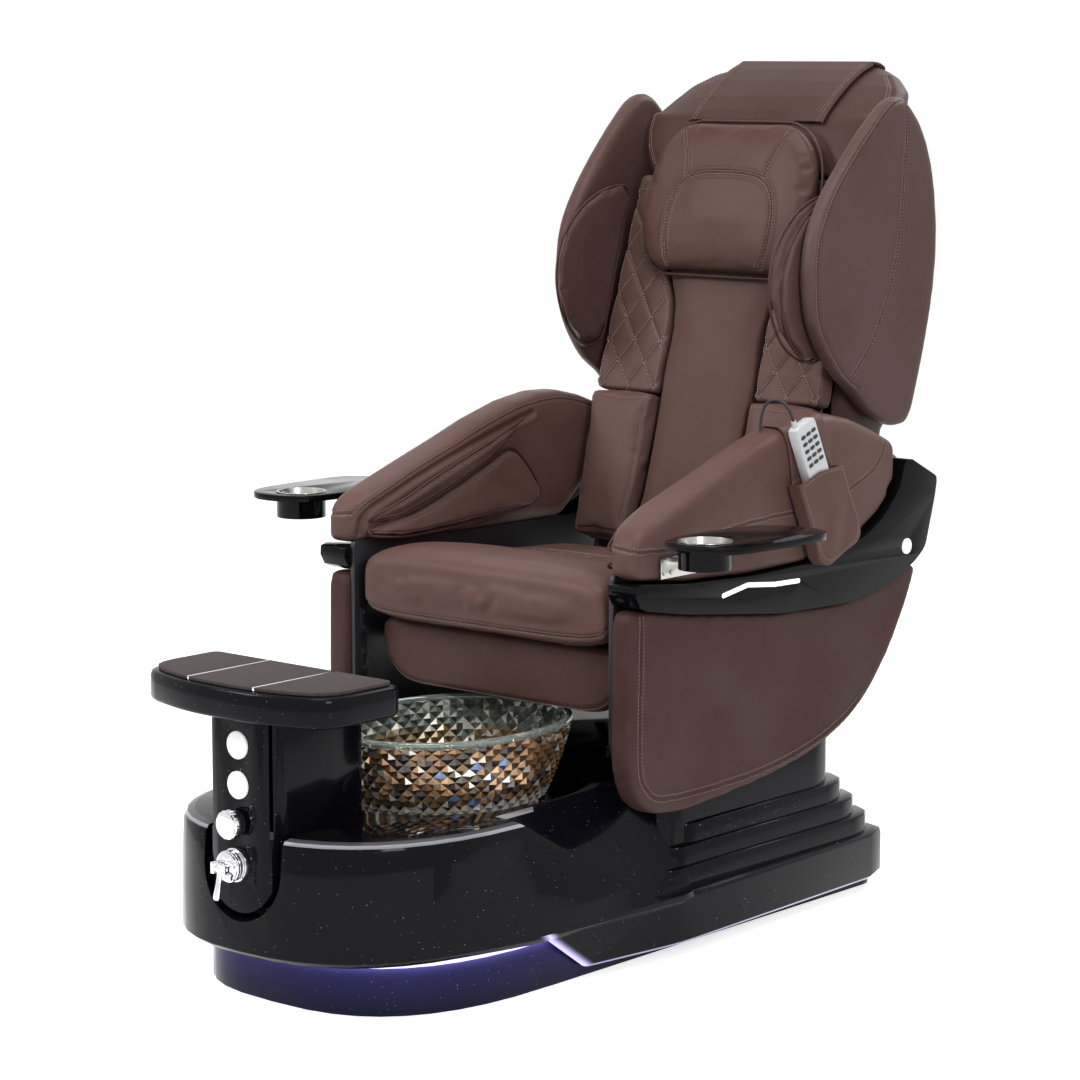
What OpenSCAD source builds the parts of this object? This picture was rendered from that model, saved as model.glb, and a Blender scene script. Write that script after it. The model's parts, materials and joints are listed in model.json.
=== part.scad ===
// Pedicure spa chair: a massage chair on a moulded base with a glass foot bowl.
// Millimetres, +Z up. The floor is z = 0, x = 0 is the plane of symmetry, and the sitter faces -Y.

/* [Base] */
// Half width of the plinth
plinth_hw = 275; // [255:1:285]
// Front of the plinth, in front of the origin
plinth_front = 668; // [640:1:680]
// Rear of the plinth, behind the origin
plinth_rear = 585; // [540:1:592]
// Height of the plinth
plinth_h = 88; // [70:1:92]
// Half width of the base shell at its rim
deck_hw = 286; // [280:1:290]
// Flare of the base shell's sides, from rim to lower edge
shell_flare = 46; // [20:1:50]
// Front of the base shell, in front of the origin
shell_front = 740; // [730:1:750]
// Height of the front deck
deck_z = 285; // [270:1:290]
// Depth of the hollow of the deck round the bowl
deck_dip = 26; // [10:1:34]
// Wall of the moulded base shell
shell_wall = 7; // [5:0.5:9]
// Height of the ribbed pedestal's top
pedestal_z = 312; // [300:1:318]
// Rise of each rib step
rib_rise = 33; // [24:1:36]
// Set-back of each rib step
rib_step = 9; // [6:0.5:12]
// Height of the light strip
led_h = 10; // [6:1:12]

/* [Tower and footrest] */
// Half width of the control tower
tower_hw = 72; // [68:1:76]
// Front face of the tower, in front of the origin
tower_front = 735; // [725:1:738]
// Rear face of the tower, in front of the origin
tower_rear = 528; // [515:1:560]
// Height of the tower's rounded lower tip
tower_tip_z = 158; // [150:1:170]
// Wall of the tower
tower_wall = 5; // [4:0.5:7]
// Half width of the footrest
footrest_hw = 207; // [180:1:220]
// Height of the footrest's underside
footrest_z = 473; // [468:1:480]
// Thickness of the footrest's shell
footrest_h = 50; // [40:1:56]
// Thickness of the footrest's pads
footpad_h = 6; // [4:0.5:10]
// Distance of the footrest's two strips from its middle
strip_x = 72; // [55:1:95]
// Diameter of the push buttons
button_d = 44; // [34:1:46]
// Travel of the push buttons
button_travel = 3; // [2:0.5:3.5]
// Heights of the push buttons
button_z = [361, 424];
// Diameter of the diverter knob
knob_d = 46; // [38:1:50]
// Height of the diverter knob
knob_z = 302; // [296:1:306]
// Diameter of the mixer's collar
mixer_d = 54; // [46:1:58]
// Height of the mixer
mixer_z = 236; // [230:1:242]

/* [Bowl and water] */
// Half width of the bowl's rim
bowl_hw = 182; // [165:1:190]
// Half length of the bowl's rim
bowl_hl = 228; // [205:1:232]
// Place of the bowl's middle, in front of the origin
bowl_y = 254; // [250:1:262]
// Height of the bowl's rim above the floor
bowl_rim_z = 394; // [380:1:397]
// Wall of the bowl
bowl_wall = 9; // [7:0.5:12]
// Bore of the bowl's drain
drain_bore = 44; // [36:1:50]
// Lift of the drain stopper
stopper_lift = 9; // [5:1:12]
// Diameter of the whirlpool jet
jet_d = 80; // [66:1:90]
// Diameter of the filler spout's tube
spout_d = 20; // [14:1:24]
// Outer diameter of the water inlet stubs
inlet_d = 20.9; // [15:0.1:26]
// Outer diameter of the drain outlet stub
outlet_d = 40; // [32:1:50]
// Height of the stubs' axes
stub_z = 48; // [40:1:58]

/* [Seat] */
// Half width of the seat cushion
seat_hw = 278; // [250:1:280]
// Front of the seat cushion, in front of the origin
seat_front = 190; // [180:1:196]
// Height of the seat cushion's underside
seat_z = 528; // [522:1:534]
// Thickness of the seat cushion at its front
seat_h = 122; // [100:1:124]
// How far the front roll hangs below the cushion's underside
roll_drop = 8; // [2:1:12]
// Height of the apron's lower edge
apron_z = 404; // [401:1:420]
// Half width of the apron
apron_hw = 274; // [240:1:276]
// Travel of the seat towards the bowl
slide_forward = 80; // [40:5:90]
// Travel of the seat away from the bowl
slide_back = 60; // [30:5:70]
// Half distance between the slide rails
rail_x = 170; // [150:1:190]

/* [Sides and arms] */
// Outer face of the side panels, out from the seat cushion's side
side_reach = 62; // [58:1:68]
// Thickness of the side panels
panel_t = 46; // [30:1:46]
// Thickness of the black inner panels
inner_t = 9; // [5:0.5:10]
// How far the side trims stand out of the side panels
trim_proud = 13; // [8:1:16]
// How far the arms stand out of the side panels
arm_proud = 5; // [1:1:6]
// Width of the arms
arm_w = 82; // [74:1:84]
// Swell of the airbag flaps towards the sitter
flap_t = 26; // [12:1:30]
// Diameter of the round screw caps
cap_d = 28; // [20:1:34]

/* [Backrest] */
// Angle of the backrest from upright, at rest
back_tilt = 16; // [14:0.5:18]
// Recline range of the backrest
recline = 25; // [10:1:28]
// Place of the recline pivot behind the origin
pivot_y = 462; // [455:1:470]
// Height of the recline pivot
pivot_z = 520; // [512:1:524]
// Diameter of the recline pivot pins
pivot_d = 16; // [12:1:20]
// Half width of the back between the arms
back_hw = 257; // [250:1:257]
// Depth of the back's rear cover
back_depth = 240; // [225:1:245]
// Half width across the wings
wing_x = 302; // [296:1:305]
// Thickness of the wings
wing_t = 36; // [24:1:38]
// Half width of the pillow
pillow_hw = 197; // [170:1:204]
// Height of the pillow
pillow_h = 286; // [250:1:292]
// Thickness of the pillow
pillow_t = 46; // [34:1:52]
// Half width of the band over the head
band_hw = 148; // [110:1:156]
// Travel of the massage carriage
massage_travel = 420; // [300:10:440]
// Half distance between the massage rails
massage_x = 92; // [80:1:98]

/* [Trays] */
// Distance of the tray hinges from the arms
tray_reach = 31; // [29:1:35]
// Height of the tray hinges
tray_axis_z = 702; // [699:1:704]
// Top face of the trays
tray_z = 720; // [718:0.5:721]
// Thickness of the trays
tray_t = 11; // [8:0.5:12]
// Inner diameter of the cup rings
cup_d = 78; // [60:1:82]
// Depth of the cups
cup_depth = 40; // [20:1:46]
// Fold range of the trays
tray_fold = 90; // [30:5:92]

/* [Remote and pouch] */
// Length of the remote
remote_l = 200; // [180:1:205]
// Width of the remote
remote_w = 56; // [46:1:60]
// Thickness of the remote
remote_t = 20; // [14:1:21]
// Length that stands out of the pouch
remote_out = 90; // [75:1:95]
// Width of the pouch
pouch_w = 122; // [110:1:130]
// Height of the pouch
pouch_h = 158; // [140:1:165]
// Wall of the pouch
pouch_wall = 2.5; // [2:0.5:3]
// Diameter of the remote's cord
cord_d = 5; // [4:0.5:6]

/* [Hidden] */
deck_flank = 54; // from the deck's side to the side panels' outer face
gap = 0.3;      // clearance between soft or curved neighbours
fit = 0.05;     // radial clearance of running fits
leather = "#5b423c";
gloss = "#0b0b12";
chrome = "#d8d8da";
brushed = "#a9a9a4";
steel = "#3c3d40";
sides = [-1, 1];
// The sides clear both the seat and the base's deck, and the arms and trays go with them
panel_x = max(seat_hw + side_reach, deck_hw + deck_flank);
trim_x = panel_x + trim_proud;
arm_x = panel_x + arm_proud;
arm_in = arm_x - arm_w;
tray_axis_x = arm_x + tray_reach;

// ---- small functions ----
function unit(v) = v / norm(v);
function mix(a, b, t) = a + (b - a) * t;
function ease(t) = let (c = min(1, max(0, t))) c * c * (3 - 2 * c);
function total(v) = v * [for (x = v) 1];
function mid(r) = [for (k = [0:2]) total([for (p = r) p[k]]) / len(r)];
function spow(v, e) = sign(v) * pow(abs(v), e);
function bend(a, b, c, t) = a * (1 - t) * (1 - t) + 2 * b * t * (1 - t) + c * t * t;

// Outline through corners [x, y, setback], each rounded with n steps
function corner(p, q, s, n) =
    let (a = [p[0], p[1]], b = [q[0], q[1]], c = [s[0], s[1]],
         r = min(q[2], norm(a - b) * 0.49, norm(c - b) * 0.49))
    q[2] == 0 ? [b] : [for (k = [0:n]) bend(b + unit(a - b) * r, b, b + unit(c - b) * r, k / n)];
function rounded(c, n = 2) =
    [for (i = [0:len(c) - 1]) each corner(c[(i + len(c) - 1) % len(c)], c[i], c[(i + 1) % len(c)], n)];

// Outline drawn in by d, for outlines that run anticlockwise
function drawn_in(o, d) = let (n = len(o))
    [for (i = [0:n - 1]) let (t = unit(o[(i + 1) % n] - o[(i + n - 1) % n])) o[i] + d * [-t[1], t[0]]];
// Outline scaled towards a point
function shrunk(o, c, s) = [for (p = o) c + (p - c) * s];
function span(o, k) = [min([for (p = o) p[k]]), max([for (p = o) p[k]])];
function middle(o) = [(span(o, 0)[0] + span(o, 0)[1]) / 2, (span(o, 1)[0] + span(o, 1)[1]) / 2];

// Superellipse ring in the xy plane
function oval(cx, cy, a, b, e, n) =
    [for (i = [0:n - 1]) let (t = 360 * i / n) [cx + a * spow(cos(t), 2 / e), cy + b * spow(sin(t), 2 / e)]];

// Closed solid through rings of equal point counts; flat ends are one face each, others are fans
module skin(rings, flat = true) {
    n = len(rings[0]);
    m = len(rings);
    points = concat([for (r = rings) each r], flat ? [] : [mid(rings[0]), mid(rings[m - 1])]);
    walls = concat(
        [for (j = [0:m - 2], i = [0:n - 1]) let (a = j * n + i, b = j * n + (i + 1) % n) [a, b, b + n]],
        [for (j = [0:m - 2], i = [0:n - 1]) let (a = j * n + i, b = j * n + (i + 1) % n) [a, b + n, a + n]]);
    fans = concat([for (i = [0:n - 1]) [m * n, (i + 1) % n, i]],
        [for (i = [0:n - 1]) [m * n + 1, (m - 1) * n + i, (m - 1) * n + (i + 1) % n]]);
    ends = flat ? [[for (i = [n - 1:-1:0]) i], [for (i = [0:n - 1]) (m - 1) * n + i]] : fans;
    faces = concat(walls, ends);
    // six times the volume, seen from the first ring's middle
    c = mid(rings[0]);
    e = mid(rings[m - 1]);
    volume = total([for (f = walls) (points[f[0]] - c) * cross(points[f[1]] - c, points[f[2]] - c)])
        + total([for (i = [0:n - 1]) (e - c) * cross(rings[m - 1][i] - c, rings[m - 1][(i + 1) % n] - c)]);
    polyhedron(points, volume > 0 ? [for (f = faces) flipped(f)] : faces, convexity = 8);
}

// Padded slab: an outline with edges rounded over r, between heights z0 and z1 along z
module padded(o, z0, z1, r, crown = 0, n = 2, flat = true) {
    c = middle(o);
    r0 = min(r, (z1 - z0) / 2);
    low = [for (k = [0:n]) let (t = 90 * k / n) [r0 * (1 - sin(t)), z0 + r0 * (1 - cos(t))]];
    high = [for (k = [n:-1:0]) let (t = 90 * k / n) [r0 * (1 - sin(t)), z1 - r0 * (1 - cos(t))]];
    top = crown == 0 ? [] : [for (s = [0.75, 0.35])
        [for (p = shrunk(drawn_in(o, r0), c, s)) [p[0], p[1], z1 + crown * (1 - s * s)]]];
    skin(concat([for (l = concat(low, high)) [for (p = drawn_in(o, l[0])) [p[0], p[1], l[1]]]], top), flat);
}

// Places: a slab drawn in the yz plane, rising along +x, or mirrored to the left side
module on_side(s) {
    if (s > 0) rotate([90, 0, 90]) children();
    else mirror([1, 0, 0]) rotate([90, 0, 90]) children();
}
// The backrest's own frame: x across, y up along the back, z forwards out of it
back_foot = [0, 335, 600];
module on_back() { translate(back_foot) rotate([90 - back_tilt, 0, 0]) children(); }
module tube_x(d, l) { translate([-l / 2, 0, 0]) rotate([0, 90, 0]) cylinder(d = d, h = l, $fn = 48); }
module tube_y(d, l) { rotate([-90, 0, 0]) cylinder(d = d, h = l, $fn = 48); }
module block(x, y, z) { translate([x[0], y[0], z[0]]) cube([x[1] - x[0], y[1] - y[0], z[1] - z[0]]); }

// ---- base ----
plan_steps = 20;
// Plan outline with an oval front and a rounded rear; the flare grows along the sides
function plan(hw, front, rear, e, cy, r, flare = 0) = concat(
    [for (k = [0:plan_steps]) let (t = 180 * k / plan_steps, y = cy - (front + cy) * spow(sin(t), 2 / e))
        [-(hw + flare * ease((y + 540) / 300)) * spow(cos(t), 2 / e), y]],
    [for (k = [0:4]) bend([hw + flare, rear - r], [hw + flare, rear], [hw + flare - r, rear], k / 4)],
    [for (k = [0:4]) bend([r - hw - flare, rear], [-hw - flare, rear], [-hw - flare, rear - r], k / 4)]);
function at_z(o, z) = [for (p = o) [p[0], p[1], z]];
function plinth_plan(d) = plan(plinth_hw - d, plinth_front - d, plinth_rear - d, 2.8, -300, 40);
function shell_plan(d, drop, flare) = plan(deck_hw - d, shell_front - drop, 20, 2.45, -390, 60, flare);

floor_z = deck_z - deck_dip;            // floor of the hollow under the bowl
lip = 12;                               // the shell's inner flange over the plinth
rear_y = plinth_rear + 17;              // rear of the base shell
flank_x = 226;                          // where the flanks start to fall
flank_y = -405;
scoop_gap = 13;                         // gap round the tower's lower end
tower_back_y = -tower_front + 38;       // rear of the tower's lower plate
drain_y = -bowl_y + 78;
jet_y = -bowl_y - 60;

module plinth() {
    color(gloss) difference() {
        linear_extrude(plinth_h) {
            difference() {
                polygon(plinth_plan(0));
                polygon(plinth_plan(8));
            }
            // cross members that the frame stands on
            for (y = [-380, -20, 340]) intersection() {
                polygon(plinth_plan(4));
                block2([-plinth_hw, plinth_hw], [y, y + 30]);
            }
        }
        // holes for the water stubs
        for (x = stub_x) translate([x, plinth_rear - 20, stub_z]) tube_y(neck_d(x) + 2 * fit, 60);
    }
}

module led_strip() {
    color("#7f86ff") translate([0, 0, plinth_h - led_h]) linear_extrude(led_h) difference() {
        polygon(plinth_plan(-3));
        polygon(plinth_plan(0));
        block2([-plinth_hw - 9, plinth_hw + 9], [60, plinth_rear + 9]);
    }
}
module block2(x, y) { translate([x[0], y[0]]) square([x[1] - x[0], y[1] - y[0]]); }

narrow = deck_hw + 20;                  // half width of the base shell at its rear
pedestal_hw = narrow - 4 * rib_step;
function step_plan(hw, front_y, back_y) =
    rounded([[-hw, front_y, 30], [hw, front_y, 30], [hw, back_y, 90], [-hw, back_y, 90]], 4);
module rear_step(hw, front_y, back_y, z0, z1) {
    o = step_plan(hw, front_y, back_y);
    skin([at_z(drawn_in(o, 2), z0), at_z(o, z0 + 3), at_z(o, z1 - 5), at_z(drawn_in(o, 1.5), z1 - 1.5),
        at_z(drawn_in(o, 5), z1)]);
}
// Wedge above the tub's flank, which falls from the deck's edge to the rear block
module flank_cut(y0, y1, z1, d, w) {
    linear_extrude(w) polygon([[y0 - d, deck_z + 2 - d], [y1, z1 - d], [90, z1 - d], [90, 420], [y0 - d, 420]]);
}
module flank(d = 0) {
    for (s = sides) on_side(s) {
        hull() {
            translate([0, 0, flank_x - d]) flank_cut(flank_y + 10, -70, 262, d, 0.1);
            translate([0, 0, 300 - d]) flank_cut(flank_y, -98, plinth_h + 18, d, 0.1);
        }
        translate([0, 0, 300 - d]) flank_cut(flank_y, -98, plinth_h + 18, d, 120);
    }
}
module shell_body() {
    // front tub
    difference() {
        tub();
        flank();
    }
    block_and_steps();
}
module tub() {
    skin([at_z(shell_plan(8, 12, shell_flare), plinth_h), at_z(shell_plan(0, 0, shell_flare), plinth_h + 9),
        at_z(shell_plan(0, 0, shell_flare * 0.8), mix(plinth_h, deck_z, 0.4)),
        at_z(shell_plan(0, 2, shell_flare * 0.3), mix(plinth_h, deck_z, 0.7)),
        at_z(shell_plan(0, 6, shell_flare * 0.05), deck_z - 12), at_z(shell_plan(5, 12, 0), deck_z - 3),
        at_z(shell_plan(16, 24, 0), deck_z)]);
}
module block_and_steps() {
    // rear block, its front edge running down and back
    wide = deck_hw + shell_flare - 5;
    function nose(y) = y < -200 ? deck_hw + 12 : wide - 6;
    function block_plan(d, y) = rounded([[d - nose(y), y, 6], [nose(y) - d, y, 6], [wide - d, max(y + 30, -40), 40],
        [narrow - d, rear_y - d, 80], [d - narrow, rear_y - d, 80], [d - wide, max(y + 30, -40), 40]]);
    low = 20;
    skin([at_z(block_plan(6, -246), low), at_z(block_plan(0, -254), low + 6),
        at_z(block_plan(0, -352), plinth_h + 6), at_z(block_plan(2, -240), plinth_h + 14),
        at_z(block_plan(8, -230), plinth_h + 17)]);
    // rib steps and pedestal
    for (k = [1:3])
        rear_step(narrow - k * rib_step, [-35, -8, 28][k - 1], rear_y - k * 27, plinth_h + 10, plinth_h + 17 + k * rib_rise);
    rear_step(pedestal_hw, -20, rear_y - 112, plinth_h + 10, pedestal_z);
}
module scoop_profile(d) {
    translate([0, tower_tip_z + tower_hw]) circle(r = tower_hw + d, $fn = 64);
    block2([-tower_hw - d, tower_hw + d], [tower_tip_z + tower_hw, 700]);
}
module base_shell() {
    color(gloss) difference() {
        shell_body();
        // inside of the tub, kept clear of the scoop
        difference() {
            translate([0, 0, plinth_h + 6]) linear_extrude(floor_z - shell_wall - plinth_h - 6)
                polygon(shell_plan(shell_wall + 2, shell_wall + 8, 0));
            translate([0, tower_back_y + 3 + shell_wall, 0]) rotate([90, 0, 0])
                linear_extrude(200) scoop_profile(scoop_gap + shell_wall);
            flank(shell_wall + 3);
        }
        // inside of the pedestal and the opening over the plinth
        translate([0, 0, plinth_h + 6]) linear_extrude(pedestal_z - shell_wall - plinth_h - 6)
            polygon(drawn_in(step_plan(pedestal_hw, 0, rear_y - 112), shell_wall));
        translate([0, 0, -1]) linear_extrude(plinth_h + 8) polygon(plinth_plan(lip));
        // room for the plinth and its light strip
        translate([0, 0, -1]) linear_extrude(plinth_h + 1) polygon(plinth_plan(-4));
        // scoop for the tower's lower end
        translate([0, tower_back_y + 3, 0]) rotate([90, 0, 0]) linear_extrude(200) scoop_profile(scoop_gap);
        // hollow for the bowl
        skin([at_z(oval(0, -bowl_y, bowl_hw + 20, bowl_hl + 8, 2.2, 40), floor_z),
            at_z(oval(0, -bowl_y, bowl_hw + 36, bowl_hl + 24, 2.2, 40), deck_z + 1)]);
        // pipe way into the tower, drain, jet and valve holes
        block([-50, 50], [tower_back_y + 20, -tower_rear - 14], [floor_z - 20, deck_z + 20]);
        translate([0, drain_y, 100]) cylinder(d = drain_bore, h = 200, $fn = 64);
        translate([0, jet_y, 100]) cylinder(d = jet_neck, h = 200, $fn = 64);
        translate([0, -tower_front, mixer_z]) tube_y(shank_d, 120);
        // stub holes in the rear
        for (x = stub_x) translate([x, plinth_rear - 20, stub_z]) tube_y(neck_d(x), 60);
    }
}
jet_neck = 46;
shank_d = 28;
stub_x = [-90, 0, 90];
stub_l = 39;                            // free length of the stubs behind the shell
stub_neck = 3;                          // how much thinner they are inside the walls
function neck_d(x) = (x == 0 ? outlet_d : inlet_d) - stub_neck;

// ---- tower, footrest and controls ----
tower_top = footrest_z;
module control_tower() {
    o = rounded([[-tower_hw, -tower_front, 24], [tower_hw, -tower_front, 24],
        [tower_hw, -tower_rear, 14], [-tower_hw, -tower_rear, 14]]);
    color(gloss) difference() {
        intersection() {
            linear_extrude(tower_top) polygon(o);
            rotate([90, 0, 0]) linear_extrude(900) scoop_profile(0);
        }
        block([-200, 200], [tower_back_y, 0], [0, deck_z]);
        block([tower_wall - tower_hw, tower_hw - tower_wall],
            [tower_wall - tower_front, -tower_rear - tower_wall],
            [deck_z - 0.5, tower_top - tower_wall]);
        for (z = button_z) translate([0, -tower_front - 1, z]) tube_y(button_d + 0.6, tower_wall + 2);
        translate([0, -tower_front - 1, knob_z]) tube_y(24, 20);
        translate([0, -tower_front - 1, mixer_z]) tube_y(shank_d, 60);
        translate([0, -tower_rear - 20, spout_z]) tube_y(spout_d, 40);
    }
}
spout_z = 436;

function footrest_plan(d) = rounded([[d - footrest_hw, d * 0.8 - 746, 52], [-strip_x, d - 784, 50], [strip_x, d - 784, 50],
    [footrest_hw - d, d * 0.8 - 746, 52], [footrest_hw - d, -d - 582, 20 - d / 2], [d - footrest_hw, -d - 582, 20 - d / 2]], 4);
module footrest_shell() {
    color(gloss) translate([0, 0, footrest_z]) difference() {
        padded(footrest_plan(0), 0, footrest_h, 9);
        block([-60, 60], [-715, -600], [-1, footrest_h - 8]);
    }
}
strip_w = 4;
module footrest_pads() {
    edge = strip_x - strip_w / 2;
    color("#3a3230") translate([0, 0, footrest_z + footrest_h])
        for (x = [[-400, -edge - strip_w], [-edge, edge], [edge + strip_w, 400]]) linear_extrude(footpad_h) intersection() {
            polygon(footrest_plan(10));
            block2(x, [-900, 0]);
        }
}
module footrest_strips() {
    color("#c9c9cc") translate([0, 0, footrest_z + footrest_h]) for (s = sides) intersection() {
        linear_extrude(footpad_h) polygon(footrest_plan(10));
        block([s * strip_x - strip_w / 2, s * strip_x + strip_w / 2], [-900, 0], [0, footpad_h]);
    }
}
module push_button(z) {
    color("white") translate([0, -tower_front, z]) {
        translate([0, -button_travel, 0]) tube_y(button_d, button_travel + 12);
        translate([0, tower_wall + gap, 0]) tube_y(button_d + 6, 2);
        translate([0, 11, 0]) tube_y(12, 14);
    }
}
module button_upper() { push_button(button_z[1]); }
module button_lower() { push_button(button_z[0]); }
module mixer_valve() {
    color(chrome) translate([0, -tower_front, mixer_z]) {
        difference() {
            union() {
                translate([0, -12, 0]) tube_y(mixer_d, 12);
                tube_y(shank_d, 96);
            }
            translate([0, -13, 0]) tube_y(14, 40);
        }
        block([-26, 26], [96, 136], [-28, 28]);
    }
}
cap_y = 12.4;
module mixer_cap() {
    color(chrome) translate([0, -tower_front - cap_y, mixer_z]) difference() {
        union() {
            translate([0, -16, 0]) tube_y(mixer_d - 8, 16);
            translate([0, -13, 0]) tube_y(mixer_d - 4, 3);
            translate([0, -7, 0]) tube_y(mixer_d - 4, 3);
            for (s = sides) block([s * 13 - 3, s * 13 + 3], [-34, -15], [-9, 9]);
            tube_y(13.9, 24);
        }
        translate([0, -27, 0]) tube_x(6 + 2 * fit, 40);
    }
}
module mixer_lever() {
    color(chrome) translate([0, -tower_front - cap_y - 27, mixer_z]) {
        tube_x(6, 34);
        tube_x(15, 19);
        rotate([-12, 0, 0]) rotate_extrude($fn = 32)
            polygon([[0, 0], [4.5, 0], [4.5, -24], [6, -46], [4, -50], [0, -50]]);
    }
}
module diverter_valve() {
    color("#b08d57") translate([0, -tower_front, knob_z]) {
        translate([0, -4, 0]) tube_y(23.4, 20);
        translate([0, -22, 0]) tube_y(10, 22);
        translate([0, tower_wall + gap, 0]) tube_y(34, 40);
    }
}
module diverter_knob() {
    color(chrome) translate([0, -tower_front - 4.4, knob_z]) difference() {
        union() {
            translate([0, -25, 0]) tube_y(knob_d - 5, 25);
            translate([0, -22, 0]) tube_y(knob_d, 17);
        }
        for (a = [0:30:330]) rotate([0, a, 0]) translate([knob_d / 2 + 1.5, -26, 0]) tube_y(5, 23);
        translate([0, -19, 0]) tube_y(10 + 2 * fit, 20);
    }
}
module filler_spout() {
    reach = 52;
    color(chrome) translate([0, -tower_rear - 19, spout_z]) difference() {
        union() {
            tube_y(spout_d, 19 + reach);
            translate([0, 19, 0]) tube_y(spout_d + 12, 6);
            translate([0, 19 + reach, 0]) sphere(d = spout_d, $fn = 40);
            translate([0, 19 + reach, -26]) cylinder(d = spout_d, h = 26, $fn = 48);
        }
        translate([0, -1, 0]) tube_y(spout_d - 5, 20 + reach);
        translate([0, 19 + reach, -27]) cylinder(d = spout_d - 5, h = 27, $fn = 48);
    }
}
module water_stubs() {
    color(brushed) for (x = stub_x) translate([x, 0, stub_z]) difference() {
        union() {
            translate([0, plinth_rear - 60, 0]) tube_y(neck_d(x), rear_y - plinth_rear + 62);
            translate([0, rear_y + 2, 0]) tube_y(neck_d(x) + stub_neck, stub_l);
        }
        translate([0, plinth_rear - 61, 0]) tube_y(neck_d(x) - 5, 160);
    }
}

// ---- bowl ----
function bowl_ring(s, z) = at_z(oval(0, -bowl_y, bowl_hw * s, bowl_hl * s, 2.15, 48), z);
module bowl() {
    h = bowl_rim_z - floor_z;
    color("#c9a25a", 0.7) difference() {
        skin([bowl_ring(0.74, floor_z), bowl_ring(0.77, floor_z + 4), bowl_ring(0.86, floor_z + h * 0.3),
            bowl_ring(0.93, floor_z + h * 0.65), bowl_ring(0.97, bowl_rim_z - 12), bowl_ring(1, bowl_rim_z - 9),
            bowl_ring(1, bowl_rim_z - 3), bowl_ring(0.985, bowl_rim_z)]);
        w = bowl_wall / bowl_hw;
        skin([bowl_ring(0.75 - w, floor_z + bowl_wall), bowl_ring(0.86 - w, floor_z + h * 0.3),
            bowl_ring(0.93 - w, floor_z + h * 0.65), bowl_ring(0.975 - w, bowl_rim_z - 5),
            bowl_ring(1 - w, bowl_rim_z + 2)]);
        translate([0, drain_y, floor_z - 1]) cylinder(d = drain_bore, h = 40, $fn = 64);
        translate([0, jet_y, floor_z - 1]) cylinder(d = jet_neck, h = 40, $fn = 64);
    }
}
basin_z = floor_z + bowl_wall;          // inside floor of the bowl
module drain_body() {
    color(chrome) translate([0, drain_y, 0]) difference() {
        union() {
            translate([0, 0, floor_z - 60]) cylinder(d = drain_bore, h = 60 + bowl_wall, $fn = 64);
            translate([0, 0, basin_z]) cylinder(d = drain_bore + 22, h = 3, $fn = 64);
            translate([0, 0, floor_z - shell_wall - 9]) cylinder(d = drain_bore + 16, h = 8.7, $fn = 6);
        }
        translate([0, 0, floor_z - 61]) cylinder(d = drain_bore - 7, h = 80 + bowl_wall, $fn = 64);
    }
    // cross that guides the stopper's stem
    color(chrome) translate([0, drain_y, floor_z - 40]) difference() {
        for (a = [0, 90]) rotate(a) block([-(drain_bore - 7) / 2 - 0.5, (drain_bore - 7) / 2 + 0.5], [-2, 2], [0, 6]);
        translate([0, 0, -1]) cylinder(d = 6 + 2 * fit, h = 8, $fn = 32);
    }
}
module drain_stopper() {
    color(chrome) translate([0, drain_y, 0]) {
        translate([0, 0, basin_z + 3 + gap]) cylinder(d = drain_bore - 2, h = 4, $fn = 64);
        translate([0, 0, floor_z - 52]) cylinder(d = 6, h = bowl_wall + 56, $fn = 32);
    }
}
module jet_motor() {
    color("#2a2a2e") translate([0, jet_y, 0]) {
        translate([0, 0, floor_z - shell_wall - 72]) cylinder(d = jet_d, h = 71.7, $fn = 64);
        translate([0, 0, floor_z - shell_wall - 1]) cylinder(d = jet_neck, h = shell_wall + bowl_wall + 1, $fn = 64);
        translate([0, 0, basin_z]) cylinder(d = 6, h = 13, $fn = 32);
    }
}
module jet_impeller() {
    color("#dcdcdc") translate([0, jet_y, basin_z + gap]) difference() {
        union() {
            cylinder(d = jet_d - 30, h = 2, $fn = 64);
            cylinder(d = 14, h = 11, $fn = 48);
            for (a = [0:60:300]) rotate(a) block([6, jet_d / 2 - 16], [-1, 1], [0, 10]);
        }
        translate([0, 0, -1]) cylinder(d = 6 + 2 * fit, h = 20, $fn = 32);
    }
}
module jet_cover() {
    color(chrome) translate([0, jet_y, basin_z]) difference() {
        cylinder(d = jet_d, h = 18, $fn = 64);
        translate([0, 0, -1]) cylinder(d = jet_d - 8, h = 16, $fn = 64);
        for (a = [0:45:315]) rotate(a) translate([jet_d / 4, 0, 0]) cylinder(d = 9, h = 30, $fn = 24);
        for (a = [0:30:150]) rotate(a) block([-jet_d, jet_d], [-2, 2], [4, 10]);
        translate([0, 0, 12]) cylinder(d = 8, h = 10, $fn = 32);
    }
}

// ---- frame and rails ----
rail_z = pedestal_z + 18;               // top of the slide rails
carrier_h = 20;
tube_z = 470;                           // underside of the seat frame's tubes
tube_h = 36;
side_in = panel_x - panel_t - gap - inner_t;   // inner face of the inner panels
module pedestal_frame() {
    color(steel) for (s = sides) {
        block([s * rail_x - 20, s * rail_x + 20], [10, 430], [pedestal_z - shell_wall - 34, pedestal_z - shell_wall]);
        for (y = [20, 380])
            block([s * rail_x - 18, s * rail_x + 18], [y, y + 34], [plinth_h, pedestal_z - shell_wall - 33]);
    }
    color(steel) for (y = [20, 380]) block([-rail_x, rail_x], [y, y + 34], [plinth_h, plinth_h + 30]);
}
module slide_rails() {
    color(brushed) for (s = sides) translate([s * rail_x, -30, pedestal_z]) difference() {
        block([-17, 17], [0, 480], [0, 18]);
        block([-11, 11], [-1, 481], [4, 13]);
        block([-5, 5], [-1, 481], [12, 20]);
    }
}
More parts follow.
